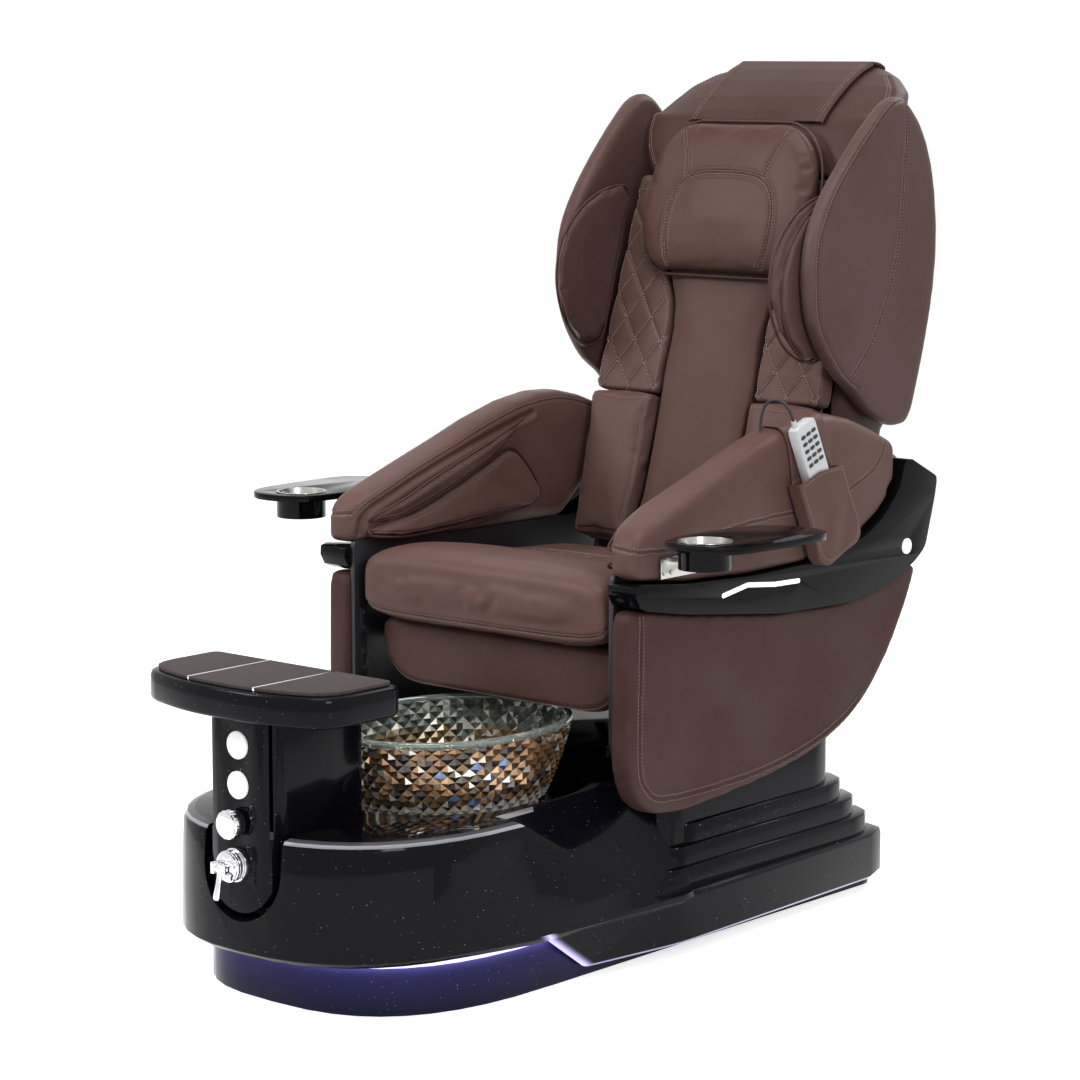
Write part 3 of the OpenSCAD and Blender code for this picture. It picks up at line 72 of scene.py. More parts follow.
def onBack(u, v, w):
    # u across, v up along the backrest, w forwards out of it
    return pt(u, 335 + v * math.sin(lean) - w * math.cos(lean), 600 + v * math.cos(lean) + w * math.sin(lean))


def offBack(p):
    y, z = p.y / mm - 335, p.z / mm - 600
    return p.x / mm, y * math.sin(lean) + z * math.cos(lean), z * math.sin(lean) - y * math.cos(lean)


def eased(t):
    t = min(1.0, max(0.0, t))
    return t * t * (3 - 2 * t)


def curved(points, step=0.004, closed=False):
    # even points along a smooth line through the given ones
    n = len(points)
    raw = []
    for i in range(n if closed else n - 1):
        a, b, c, d = (points[j % n] if closed else points[min(max(j, 0), n - 1)] for j in (i - 1, i, i + 1, i + 2))
        parts = max(2, int((c - b).length / step * 2))
        for k in range(parts):
            t = k / parts
            raw.append(0.5 * (2 * b + (c - a) * t + (2 * a - 5 * b + 4 * c - d) * t * t
                + (3 * b - a - 3 * c + d) * t ** 3))
    raw.append(points[0] if closed else points[-1])
    length = sum((raw[i + 1] - raw[i]).length for i in range(len(raw) - 1))
    count = max(2, round(length / step))
    even, gone, i = [raw[0].copy()], 0.0, 0
    for k in range(1, count):
        goal = length * k / count
        while gone + (raw[i + 1] - raw[i]).length < goal:
            gone += (raw[i + 1] - raw[i]).length
            i += 1
        part = (raw[i + 1] - raw[i]).length
        even.append(raw[i].lerp(raw[i + 1], (goal - gone) / part if part else 0))
    return even if closed else even + [raw[-1].copy()]


def rounded(corners, steps=3):
    # outline through corners (x, y, setback), in mm
    line = []
    for i, (x, y, r) in enumerate(corners):
        before, after = corners[i - 1], corners[(i + 1) % len(corners)]
        here = Vector((x, y))
        toBefore, toAfter = Vector(before[:2]) - here, Vector(after[:2]) - here
        r = min(r, toBefore.length * 0.49, toAfter.length * 0.49)
        start, end = here + toBefore.normalized() * r, here + toAfter.normalized() * r
        for k in range(steps + 1):
            t = k / steps
            line.append(start * (1 - t) ** 2 + here * 2 * t * (1 - t) + end * t * t)
    return line


def drawnIn(line, d):
    moved = []
    for i, p in enumerate(line):
        t = (line[(i + 1) % len(line)] - line[i - 1]).normalized()
        moved.append(p + Vector((-t.y, t.x)) * d)
    return moved


def inside(line, x, y):
    found = False
    for i, p in enumerate(line):
        q = line[i - 1]
        if (p.y > y) != (q.y > y) and x < (q.x - p.x) * (y - p.y) / (q.y - p.y) + p.x:
            found = not found
    return found


# ---- pieces ----
def pick(piece, *more):
    if bpy.context.object and bpy.context.object.mode != "OBJECT":
        bpy.ops.object.mode_set(mode="OBJECT")
    bpy.ops.object.select_all(action="DESELECT")
    for one in (piece, *more):
        one.select_set(True)
    bpy.context.view_layer.objects.active = piece


def apply(piece, kind, **values):
    modifier = piece.modifiers.new(kind.title(), kind)
    for key, value in values.items():
        setattr(modifier, key, value)
    pick(piece)
    bpy.ops.object.modifier_apply(modifier=modifier.name)


def edited(*steps):
    # work on all of the active mesh in edit mode
    bpy.ops.object.mode_set(mode="EDIT")
    bpy.ops.mesh.select_all(action="SELECT")
    for step, values in steps:
        step(**values)
    bpy.ops.object.mode_set(mode="OBJECT")


def copyNode(node, name):
    # a merged copy of a CAD solid, to refine
    piece = bpy.data.objects.new(name, nodes[node].data.copy())
    scene.collection.objects.link(piece)
    piece.data.materials.clear()
    pick(piece)
    bpy.ops.mesh.customdata_custom_splitnormals_clear()
    edited((bpy.ops.mesh.remove_doubles, {"threshold": 0.00002}))
    return piece


def finish(piece, body, slotName, finishOf, *replaced):
    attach(piece, body)
    piece.data.materials.clear()
    piece.data.materials.append(finishOf)
    if replaced:
        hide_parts(*replaced)
    return piece


def crisp(node, name, edge=0.0008, angle=32, segments=2):
    # a moulded or machined solid with eased edges
    piece = copyNode(node, name)
    edited((bpy.ops.mesh.dissolve_limited, {"angle_limit": math.radians(0.6)}))
    if edge:
        apply(piece, "BEVEL", width=edge, segments=segments, limit_method="ANGLE", angle_limit=math.radians(angle),
            miter_outer="MITER_ARC", use_clamp_overlap=True)
    pick(piece)
    bpy.ops.object.shade_smooth_by_angle(angle=math.radians(angle))
    return piece


def padded(piece, voxel, smooth=8, shrink=0.0):
    # even quads all over, with the corners of the solid softened
    apply(piece, "REMESH", mode="VOXEL", voxel_size=voxel, adaptivity=0.0)
    if shrink:
        apply(piece, "DISPLACE", strength=-shrink, mid_level=0.0)
    apply(piece, "SMOOTH", factor=0.5, iterations=smooth)
    return piece


def puffed(piece, cap, pressure=4.0, bend=4.0):
    # air pressure swells the cover, and no point moves further than cap
    frames = 20
    before = [v.co.copy() for v in piece.data.vertices]
    cloth = piece.modifiers.new("Cloth", "CLOTH")
    for key, value in {"quality": 5, "mass": 0.3, "tension_stiffness": 12, "compression_stiffness": 12,
            "bending_stiffness": bend, "use_pressure": True, "uniform_pressure_force": pressure}.items():
        setattr(cloth.settings, key, value)
    cloth.settings.effector_weights.gravity = 0
    cloth.collision_settings.use_collision = False
    cloth.point_cache.frame_start = 1
    cloth.point_cache.frame_end = frames
    for frame in range(1, frames + 1):
        scene.frame_set(frame)
    pick(piece)
    bpy.ops.object.modifier_apply(modifier=cloth.name)
    scene.frame_set(1)
    for vertex, old in zip(piece.data.vertices, before):
        move = vertex.co - old
        if move.length > cap:
            vertex.co = old + move * (cap / move.length)
    apply(piece, "SMOOTH", factor=0.5, iterations=3)
    return piece


def refined(piece):
    apply(piece, "SUBSURF", levels=1, render_levels=1)
    pick(piece)
    bpy.ops.object.shade_smooth()
    return piece


def soft(node, name, voxel, smooth=6, shrink=0.0, swell=0.0, pressure=4.0):
    # a CAD solid as a padded cover
    piece = padded(copyNode(node, name), voxel, smooth, shrink)
    if swell:
        puffed(piece, swell, pressure)
    return refined(piece)


def upholstered(piece, body, look, fill, *replaced):
    finish(piece, body, "brown_leather", look, *replaced)


def surfaceOf(piece):
    return BVHTree.FromObject(piece, bpy.context.evaluated_depsgraph_get())


def laid(tree, line, lift=0.0, aside=0.0):
    # the line set on the surface, moved aside across itself
    spots = [tree.find_nearest(p)[:2] for p in line]
    if aside:
        moved = []
        for i, (spot, normal) in enumerate(spots):
            run = spots[min(i + 1, len(spots) - 1)][0] - spots[max(i - 1, 0)][0]
            moved.append(spot + run.cross(normal).normalized() * aside)
        spots = [tree.find_nearest(p)[:2] for p in moved]
    return [spot + normal * lift for spot, normal in spots]


# ---- sewing: lines are gathered for each piece and made in one go at the end ----
thread = {"pitch": 6.2, "radius": 0.75, "rise": 0.6}  # of a stitch, in mm
threads, cords = {}, {}
sewn = {"rows": (-3.4, 3.4), "depth": 1.6, "width": 3.2, "swell": 0.5, "line": 0.7, "closed": False}


def stitches(key, tree, line):
    # dashes of thread that rise a little between their ends
    length = sum((b - a).length for a, b in zip(line, line[1:]))
    if length < 0.02:
        return
    spots = [tree.find_nearest(p)[:2] for p in curved(line, thread["pitch"] * mm / 4)]
    for i in range(0, len(spots) - 3, 4):
        dash = [spot + normal * thread["rise"] * mm * rise
            for (spot, normal), rise in zip(spots[i:i + 4], (0, 1, 1, 0))]
        threads.setdefault(key, []).append((dash, False, 0.4))


def cordAlong(key, line, radius, closed=False):
    cords.setdefault((key, radius), []).append((line, closed, 1.0))


def sew(piece, key, *seams):
    # the cover drawn in along each seam, a fine dark joint line in it with painted shade of the seam's gap, and
    # rows of stitches beside it, in mm
    tree = surfaceOf(piece)
    vertices = piece.data.vertices
    near = kdtree.KDTree(len(vertices))
    for vertex in vertices:
        near.insert(vertex.co, vertex.index)
    near.balance()
    paths, pulls = [], {}
    for points, changes in seams:
        seam = {**sewn, **changes}
        path = laid(tree, curved(points, 0.004, seam["closed"]))
        paths.append((path, seam))
        if not seam["depth"]:
            continue
        for p in path:
            for spot, index, d in near.find_range(p, 4 * seam["width"] * mm):
                if index not in pulls or d < pulls[index][0]:
                    pulls[index] = (d, seam)
    outward = {index: vertices[index].normal.copy() for index in pulls}
    for index, (d, seam) in pulls.items():
        far = d / mm / seam["width"]
        push = seam["swell"] * math.exp(-((far - 2.1) / 0.9) ** 2) - seam["depth"] * math.exp(-far ** 2)
        vertices[index].co += outward[index] * push * mm
    piece.data.update()
    tree = surfaceOf(piece)
    for path, seam in paths:
        if seam["line"]:
            cordAlong(key + "Joint", laid(tree, path, -seam["line"] * 0.3 * mm), seam["line"] * mm, seam["closed"])
        for aside in seam["rows"]:
            stitches(key, tree, laid(tree, path, 0, aside * mm))
    return tree


def tube(name, lines, radius, sides=2):
    # round cords of that radius along lines of (points, closed, how thin at the ends)
    curve = bpy.data.curves.new(name, "CURVE")
    curve.dimensions = "3D"
    for line, closed, ends in lines:
        spline = curve.splines.new("POLY")
        spline.points.add(len(line) - 1)
        for point, p in zip(spline.points, line):
            point.co = (*p, 1)
        if ends < 1:
            spline.points[0].radius = spline.points[-1].radius = ends
        spline.use_cyclic_u = closed
    curve.bevel_depth = radius
    curve.bevel_resolution = sides
    curve.use_fill_caps = True
    piece = bpy.data.objects.new(name, curve)
    scene.collection.objects.link(piece)
    pick(piece)
    bpy.ops.object.convert(target="MESH")
    bpy.ops.object.shade_smooth()
    return bpy.context.object


def joined(name, parts):
    pick(parts[0], *parts[1:])
    if len(parts) > 1:
        bpy.ops.object.join()
    whole = bpy.context.object
    whole.name = name
    whole.data.name = name
    return whole


# ---- materials ----
def group(name, inputs, outputs):
    tree = bpy.data.node_groups.new(name, "ShaderNodeTree")
    for label, kind, value in inputs:
        socket = tree.interface.new_socket(name=label, in_out="INPUT", socket_type=kind)
        socket.default_value = value
    for label, kind in outputs:
        tree.interface.new_socket(name=label, in_out="OUTPUT", socket_type=kind)
    return tree, tree.nodes.new("NodeGroupInput"), tree.nodes.new("NodeGroupOutput")


def add(tree, kind, **values):
    node = tree.nodes.new(kind)
    for key, value in values.items():
        if key in node.inputs:
            node.inputs[key].default_value = value
        else:
            setattr(node, key, value)
    return node


def sums(tree, operation, a, b=None):
    node = tree.nodes.new("ShaderNodeMath")
    node.operation = operation
    for i, value in enumerate((a, b)):
        if value is None:
            continue
        if isinstance(value, (int, float)):
            node.inputs[i].default_value = value
        else:
            tree.links.new(value, node.inputs[i])
    return node.outputs[0]


def product(tree, *values):
    whole = values[0]
    for value in values[1:]:
        whole = sums(tree, "MULTIPLY", whole, value)
    return whole


def blended(tree, factor, a, b):
    node = tree.nodes.new("ShaderNodeMix")
    node.data_type = "RGBA"
    for socket, value in ((node.inputs[0], factor), (node.inputs[6], a), (node.inputs[7], b)):
        if isinstance(value, (int, float)):
            socket.default_value = value
        elif isinstance(value, (tuple, list)):
            socket.default_value = (*value, 1)
        else:
            tree.links.new(value, socket)
    return node.outputs[2]


def objectPlace(tree):
    return tree.nodes.new("ShaderNodeTexCoord").outputs["Object"]


def axesOf(tree):
    split = tree.nodes.new("ShaderNodeSeparateXYZ")
    tree.links.new(objectPlace(tree), split.inputs[0])
    return split.outputs


def noise(tree, place, scale, detail=2.0, roughness=0.5):
    node = add(tree, "ShaderNodeTexNoise", Scale=scale, Detail=detail, Roughness=roughness)
    tree.links.new(place, node.inputs["Vector"])
    return node.outputs["Fac"]


def hideGroup():
    # pores, soft creases and uneven colour of a smooth hide
    tree, given, out = group("hide", [("Colour", "NodeSocketColor", (0.1, 0.05, 0.04, 1)),
            ("Pore scale", "NodeSocketFloat", 900.0), ("Unevenness", "NodeSocketFloat", 0.2),
            ("Gloss", "NodeSocketFloat", 0.42)], [("Colour", "NodeSocketColor"), ("Roughness", "NodeSocketFloat"),
            ("Height", "NodeSocketFloat")])
    place = objectPlace(tree)
    pores = add(tree, "ShaderNodeTexVoronoi", feature="F1", Randomness=0.95)
    tree.links.new(place, pores.inputs["Vector"])
    tree.links.new(given.outputs["Pore scale"], pores.inputs["Scale"])
    cloudy = noise(tree, place, 5.5, 3.0, 0.55)
    mottled = noise(tree, place, 60, 4.0, 0.6)
    creases = noise(tree, place, 22, 5.0, 0.62)
    shade = product(tree, sums(tree, "SUBTRACT", sums(tree, "ADD", product(tree, cloudy, 0.75),
                product(tree, mottled, 0.35)), 0.55), given.outputs["Unevenness"])
    bright = add(tree, "ShaderNodeBrightContrast")
    tree.links.new(given.outputs["Colour"], bright.inputs["Color"])
    tree.links.new(product(tree, shade, 0.12), bright.inputs["Bright"])
    deep = blended(tree, product(tree, pores.outputs["Distance"], 0.22), bright.outputs[0], (0.03, 0.014, 0.011))
    tree.links.new(deep, out.inputs["Colour"])
    tree.links.new(sums(tree, "ADD", given.outputs["Gloss"], product(tree, sums(tree, "SUBTRACT", mottled, 0.5),
                0.16)), out.inputs["Roughness"])
    tree.links.new(sums(tree, "ADD", product(tree, pores.outputs["Distance"], -0.35), product(tree, creases, 0.9)),
        out.inputs["Height"])
    return tree


def flakeGroup():
    # sparse bright flakes under a clear coat
    tree, given, out = group("flakes", [("Scale", "NodeSocketFloat", 240.0), ("Share", "NodeSocketFloat", 0.12)],
        [("Mask", "NodeSocketFloat"), ("Tint", "NodeSocketColor")])
    place = objectPlace(tree)
    cells = add(tree, "ShaderNodeTexVoronoi", feature="F1", Randomness=1.0)
    tree.links.new(place, cells.inputs["Vector"])
    tree.links.new(given.outputs["Scale"], cells.inputs["Scale"])
    split = tree.nodes.new("ShaderNodeSeparateColor")
    tree.links.new(cells.outputs["Color"], split.inputs[0])
    few = sums(tree, "LESS_THAN", split.outputs[0], given.outputs["Share"])
    near = sums(tree, "LESS_THAN", cells.outputs["Distance"], 0.17)
    tree.links.new(product(tree, few, near, split.outputs[1]), out.inputs["Mask"])
    tree.links.new(blended(tree, split.outputs[2], (0.75, 0.8, 1.0), (1.0, 0.9, 0.75)), out.inputs["Tint"])
    return tree


def wearGroup():
    # faint smears and dust that change how a finish shines
    tree, given, out = group("smears", [("Base", "NodeSocketFloat", 0.1), ("Amount", "NodeSocketFloat", 0.06),
            ("Scale", "NodeSocketFloat", 9.0)], [("Roughness", "NodeSocketFloat"), ("Dust", "NodeSocketFloat")])
    place = objectPlace(tree)
    broad = add(tree, "ShaderNodeTexNoise", Detail=4.0, Roughness=0.6)
    tree.links.new(place, broad.inputs["Vector"])
    tree.links.new(given.outputs["Scale"], broad.inputs["Scale"])
    fine = noise(tree, place, 420, 2.0)
    patch = product(tree, sums(tree, "SUBTRACT", broad.outputs["Fac"], 0.42), 3.0)
    tree.links.new(sums(tree, "ADD", given.outputs["Base"], product(tree, sums(tree, "MAXIMUM", patch, 0.0),
                given.outputs["Amount"])), out.inputs["Roughness"])
    tree.links.new(product(tree, sums(tree, "GREATER_THAN", fine, 0.66), 0.35), out.inputs["Dust"])
    return tree


hide, flakes, smears = hideGroup(), flakeGroup(), wearGroup()


def surface(name, **sockets):
    finishOf = bpy.data.materials.new(name)
    finishOf.use_nodes = True
    tree = finishOf.node_tree
    shader = tree.nodes["Principled BSDF"]
    for key, value in sockets.items():
        key = {"base": "Base Color", "rough": "Roughness", "metal": "Metallic", "coat": "Coat Weight",
            "coatRough": "Coat Roughness", "glass": "Transmission Weight", "ior": "IOR", "sheen": "Sheen Weight",
            "sheenRough": "Sheen Roughness", "shine": "Specular IOR Level"}[key]
        shader.inputs[key].default_value = (*value, 1) if isinstance(value, tuple) else value
    return finishOf, tree, shader


def place(tree, kind, **values):
    node = tree.nodes.new("ShaderNodeGroup")
    node.node_tree = kind
    for key, value in values.items():
        node.inputs[key.replace("_", " ")].default_value = (*value, 1) if isinstance(value, tuple) else value
    return node


def roughened(tree, shader, scale, depth):
    bump = add(tree, "ShaderNodeBump", Strength=depth, Distance=0.0006)
    tree.links.new(noise(tree, objectPlace(tree), scale, 3.0), bump.inputs["Height"])
    tree.links.new(bump.outputs["Normal"], shader.inputs["Normal"])


def leatherFinish(name, colour, gloss=0.42, unevenness=0.5, depth=0.12):
    finishOf, tree, shader = surface(name, shine=0.13, sheen=0.01, sheenRough=0.4)
    skin = place(tree, hide, Colour=colour, Gloss=gloss, Unevenness=unevenness)
    tree.links.new(skin.outputs["Colour"], shader.inputs["Base Color"])
    tree.links.new(skin.outputs["Roughness"], shader.inputs["Roughness"])
    bump = add(tree, "ShaderNodeBump", Strength=depth, Distance=0.0012)
    tree.links.new(skin.outputs["Height"], bump.inputs["Height"])
    tree.links.new(bump.outputs["Normal"], shader.inputs["Normal"])
    return finishOf


def glossSurface(name, colour, rough, share, scale):
    finishOf, tree, shader = surface(name, coat=0.06, coatRough=0.02, shine=0.07)
    shine = place(tree, smears, Base=rough, Amount=0.10)
    tree.links.new(shine.outputs["Roughness"], shader.inputs["Roughness"])
    if share:
        dots = place(tree, flakes, Scale=scale, Share=share)
        tree.links.new(blended(tree, dots.outputs["Mask"], colour, dots.outputs["Tint"]),
            shader.inputs["Base Color"])
    else:
        tree.links.new(blended(tree, shine.outputs["Dust"], colour, (0.012, 0.012, 0.014)),
            shader.inputs["Base Color"])
    return finishOf, tree, shader


def ridge(tree, value, middle, half):
    # 1 where the value is at the middle, falling to 0 that far away
    off = sums(tree, "ABSOLUTE", sums(tree, "SUBTRACT", value, middle))
    return sums(tree, "MAXIMUM", sums(tree, "SUBTRACT", 1.0, sums(tree, "DIVIDE", off, half)), 0.0)


def glossWithPaintedLight(name):
    # painted lilac light (emission) on the rear block's front corner and its lower edge,
    # and a painted pale highlight on the deck's front edge
    finishOf, tree, shader = glossSurface(name, colours["black"], 0.08, 0.035, 380.0)
    across, along, up = axesOf(tree)
    facing = tree.nodes.new("ShaderNodeSeparateXYZ")
    tree.links.new(tree.nodes.new("ShaderNodeTexCoord").outputs["Normal"], facing.inputs[0])
    slant = sums(tree, "ADD", along, product(tree, sums(tree, "SUBTRACT", up, 0.026), 1.441))
    side = sums(tree, "GREATER_THAN", sums(tree, "ABSOLUTE", across), 0.286)
    corner = product(tree, sums(tree, "POWER", ridge(tree, slant, -0.254, 0.022), 2.0),
        sums(tree, "GREATER_THAN", up, 0.022), sums(tree, "LESS_THAN", up, 0.1))
    low = product(tree, ridge(tree, up, 0.0225, 0.0022), sums(tree, "GREATER_THAN", along, -0.25), 0.6)
    light = product(tree, sums(tree, "MAXIMUM", corner, low), side)
    edge = product(tree, sums(tree, "GREATER_THAN", up, 0.277), sums(tree, "LESS_THAN", up, 0.2849),
        sums(tree, "LESS_THAN", along, -0.30), ridge(tree, facing.outputs[2], 0.6, 0.45))
    gleam = blended(tree, edge, (0.0, 0.0, 0.0), (0.42, 0.42, 0.46))
    # emission paints the lilac light and the deck-edge highlight
    tree.links.new(blended(tree, light, gleam, (0.95, 0.85, 1.6)), shader.inputs["Emission Color"])
    shader.inputs["Emission Strength"].default_value = 1.0
    return finishOf


def metalFinish(name, colour, rough, brushed=0.0):
    finishOf, tree, shader = surface(name, metal=1.0)
    shine = place(tree, smears, Base=rough, Amount=0.12, Scale=30.0)
    tree.links.new(shine.outputs["Roughness"], shader.inputs["Roughness"])
    stretch = add(tree, "ShaderNodeMapping", Scale=(60, 1400, 1400) if brushed else (30, 30, 30))
    tree.links.new(objectPlace(tree), stretch.inputs["Vector"])
    streaks = noise(tree, stretch.outputs[0], 1.0, 3.0)
    tree.links.new(blended(tree, product(tree, streaks, 0.35), colour,
            tuple(c * 0.72 for c in colour)), shader.inputs["Base Color"])
    if brushed:
        bump = add(tree, "ShaderNodeBump", Strength=brushed, Distance=0.0004)
        tree.links.new(streaks, bump.inputs["Height"])
        tree.links.new(bump.outputs["Normal"], shader.inputs["Normal"])
    return finishOf


def plasticFinish(name, colour, rough, grain=0.0, coat=0.0, glow=0.0):
    finishOf, tree, shader = surface(name, coat=coat, coatRough=0.05)
    shine = place(tree, smears, Base=rough, Amount=0.12)
    tree.links.new(shine.outputs["Roughness"], shader.inputs["Roughness"])
    tree.links.new(blended(tree, shine.outputs["Dust"], colour,
            tuple(c * 0.9 + 0.01 for c in colour)), shader.inputs["Base Color"])
    if glow:
        shader.inputs["Emission Color"].default_value = (1, 1, 1, 1)
        shader.inputs["Emission Strength"].default_value = glow
    if grain:
        roughened(tree, shader, 700, grain)
    return finishOf


# the upholstery colours, seat to quilt, are lighter and darker copies of one brown leather: painted light and shade
# for how each part faces the lamps, darkest on the side panels and head
colours = {"seat": (0.128, 0.070, 0.059), "apron": (0.098, 0.050, 0.042), "pillow": (0.086, 0.042, 0.034),
    "head": (0.066, 0.033, 0.027), "panel": (0.062, 0.029, 0.026), "wing": (0.104, 0.058, 0.052),
    "centre": (0.110, 0.062, 0.051), "quilt": (0.130, 0.076, 0.065), "cover": (0.075, 0.040, 0.033),
    "piping": (0.070, 0.034, 0.028), "thread": (0.25, 0.165, 0.14), "paleThread": (0.33, 0.25, 0.20),
    "joint": (0.02, 0.010, 0.008), "black": (0.0035, 0.0035, 0.006), "trimBlack": (0.003, 0.003, 0.004)}
leather = leatherFinish("brownLeather", colours["seat"])
apronLeather = leatherFinish("apronLeather", colours["apron"])
pillowLeather = leatherFinish("pillowLeather", colours["pillow"], gloss=0.38)
headLeatherShaded = leatherFinish("headLeatherShaded", colours["head"])
panelLeatherShaded = leatherFinish("panelLeatherShaded", colours["panel"], gloss=0.5)
softLeather = leatherFinish("softLeather", colours["centre"], gloss=0.5)
quiltLeather = leatherFinish("quiltLeather", colours["quilt"], gloss=0.5)
wingLeather = leatherFinish("wingLeather", colours["wing"])
coverLeather = leatherFinish("coverLeather", colours["cover"], gloss=0.5)
cordLeather = leatherFinish("pipingLeather", colours["piping"], gloss=0.34)
threadFinish = plasticFinish("threadBrown", colours["thread"], 0.6, 0.4)
paleThread = plasticFinish("threadPale", colours["paleThread"], 0.6, 0.4)
# the joint line's dark colour is the seam's gap with painted shade in it
jointShadeFinish = plasticFinish("seamShadow", colours["joint"], 0.8)
baseBlack = glossWithPaintedLight("flakeBlack")
trimBlack = glossSurface("pianoBlack", colours["trimBlack"], 0.05, 0, 0)[0]
matteBlack = plasticFinish("matteBlack", (0.006, 0.006, 0.008), 0.42, 0.3)
chromeFinish = metalFinish("chromePlate", (0.82, 0.82, 0.84), 0.04)
steelFinish = metalFinish("brushedSteel", (0.5, 0.49, 0.47), 0.24, 0.12)
brassFinish = metalFinish("turnedBrass", (0.7, 0.5, 0.24), 0.2)
darkSteel = plasticFinish("paintedSteel", (0.03, 0.03, 0.034), 0.4, 0.15)
# white caps, buttons and impeller get a painted glow (emission) though they are no lamps
whiteFinish = plasticFinish("whitePaintedGlow", (0.86, 0.86, 0.87), 0.16, glow=0.3, coat=0.6)
litWhite = plasticFinish("litWhite", (0.9, 0.9, 0.9), 0.3, glow=0.8)
remoteFinish = plasticFinish("remoteShell", (0.62, 0.63, 0.65), 0.3, coat=0.3)
keyFinish = plasticFinish("keyRubber", (0.012, 0.013, 0.016), 0.45, 0.2)
print("materials made")


# ---- camera ----
cameraView = {"place": (3.630, -4.199, 1.491), "turn": (81.5, 0, 41), "lens": 110}
bpy.ops.object.select_all(action="DESELECT")
bpy.ops.object.camera_add(location=cameraView["place"], rotation=[math.radians(a) for a in cameraView["turn"]])
scene.camera = bpy.context.object
scene.camera.data.lens = cameraView["lens"]

# ---- cord of the remote, from its top over the arm and down into it ----
remoteCord = {"diameter": 0.005, "route": [(357.9, 209.5, 873.3), (357.4, 205.8, 882), (355, 200, 894),
        (348, 195, 904), (336, 191, 909), (322, 190, 905), (312, 190, 896), (306, 190, 880), (304, 190, 866),
        (304, 190, 854)]}
route = curved([pt(*p) for p in remoteCord["route"]], 0.004)
cordPiece = tube("remoteCord", [(route, False, 1.0)], remoteCord["diameter"] / 2, 4)
finish(cordPiece, "chair_top", "key_black", keyFinish, "remote_cord")

# ---- seat ----
seatShape = {"voxel": 0.0059, "slack": 0.003, "swell": 0.0035, "frontSeam": [(-271, -146, 578), (-268, -168, 556),
        (-246, -184, 542), (-160, -189, 537), (0, -190, 537), (160, -189, 539), (246, -184, 544), (268, -168, 558),
        (271, -146, 580)], "crossRows": (24, 38, 176, 190), "quiltStep": 62}
seat = soft("seat_cushion", "seatCushion", seatShape["voxel"], 6, seatShape["slack"], seatShape["swell"])
creases = [([pt(*p) for p in seatShape["frontSeam"]], {"depth": 2.4, "width": 4, "swell": 0.9})]
creases += [([pt(x, y, 640) for x in (-250, -120, 0, 120, 250)],
        {"rows": (0,), "depth": 0.8, "width": 3, "line": 0}) for y in seatShape["crossRows"]]
low, high = seatShape["crossRows"][1:3]
for k in range(-5, 6):
    for way in (-1, 1):
        ends = [(k * seatShape["quiltStep"] + way * (y - (low + high) / 2) * 0.9, y) for y in (low + 6,
                (low + high) / 2, high - 6)]
        if max(abs(x) for x, y in ends) < 246:
            creases.append(([pt(x, y, 640) for x, y in ends], {"rows": (0,), "depth": 1.0, "width": 3, "line": 0,
                        "swell": 0.3}))
sew(seat, "seat", *creases)
upholstered(seat, "chair_top", leather, 0.8, "seat_cushion")

apronShape = {"edge": [(-262, 462), (-246, 440), (-214, 420), (-150, 413), (0, 411), (150, 413), (214, 420),
        (246, 440), (262, 462)]}
apron = soft("seat_apron", "seatApron", 0.006, 6, 0.001)
sew(apron, "apron", ([pt(x, -132, z) for x, z in apronShape["edge"]], {"rows": (4.5,), "depth": 1.4, "width": 3}))
upholstered(apron, "chair_top", apronLeather, 0.7, "seat_apron")
print("seat done")

# ---- side panels, arms and their airbag flaps ----
panelShape = {"voxel": 0.0065, "seam": [(-166, 590), (-168, 507), (-170, 398), (-168, 335), (-154, 305),
        (-122, 284), (-57, 279), (60, 280), (160, 286), (250, 299), (330, 318), (396, 344), (434, 366)]}
armShape = {"voxel": 0.006, "outerSeam": [(288, -186, 701), (312, -190, 699), (334, -184, 696), (345, -160, 694),
        (345, -88, 692), (345, 0, 701), (345, 96, 711), (345, 190, 715), (345, 262, 716), (345, 330, 722),
        (345, 386, 738), (345, 430, 753), (345, 462, 768), (345, 486, 792), (345, 500, 816)],
    "bandSeam": [(-180, 655), (-176, 684), (-160, 703), (-120, 722), (-51, 748), (71, 787), (196, 822), (262, 838)],
    "topSeam": [(-178, 706), (-160, 718), (-110, 738), (-41, 764), (60, 797), (134, 822), (225, 848), (300, 858),
        (354, 857), (409, 845), (462, 824)]}
for side, hand in sides:
    node = hand.lower()
    panel = soft("side_panel_" + node, "sidePanel" + hand, panelShape["voxel"], 5)
    sew(panel, "panel" + hand, ([pt(side * 341, y, z) for y, z in panelShape["seam"]],
            {"rows": (-5.5, 5.5), "width": 3}))
    upholstered(panel, "chair_top", panelLeatherShaded, 0.9, "side_panel_" + node)
    arm = soft("arm_" + node, "arm" + hand, armShape["voxel"], 6)
    sew(arm, "arm" + hand, ([pt(side * x, y, z) for x, y, z in armShape["outerSeam"]],
            {"rows": (-5, 5), "depth": 2, "width": 3.4}), ([pt(side * 264, y, z) for y, z in armShape["bandSeam"]],
            {"rows": (), "depth": 6, "width": 6, "swell": 1.5, "line": 0}),
        ([pt(side * 268, y, z) for y, z in armShape["topSeam"]], {"rows": (-3.4,), "depth": 1.4}))
    upholstered(arm, "chair_top", leather, 0.9, "arm_" + node)
print("sides done")

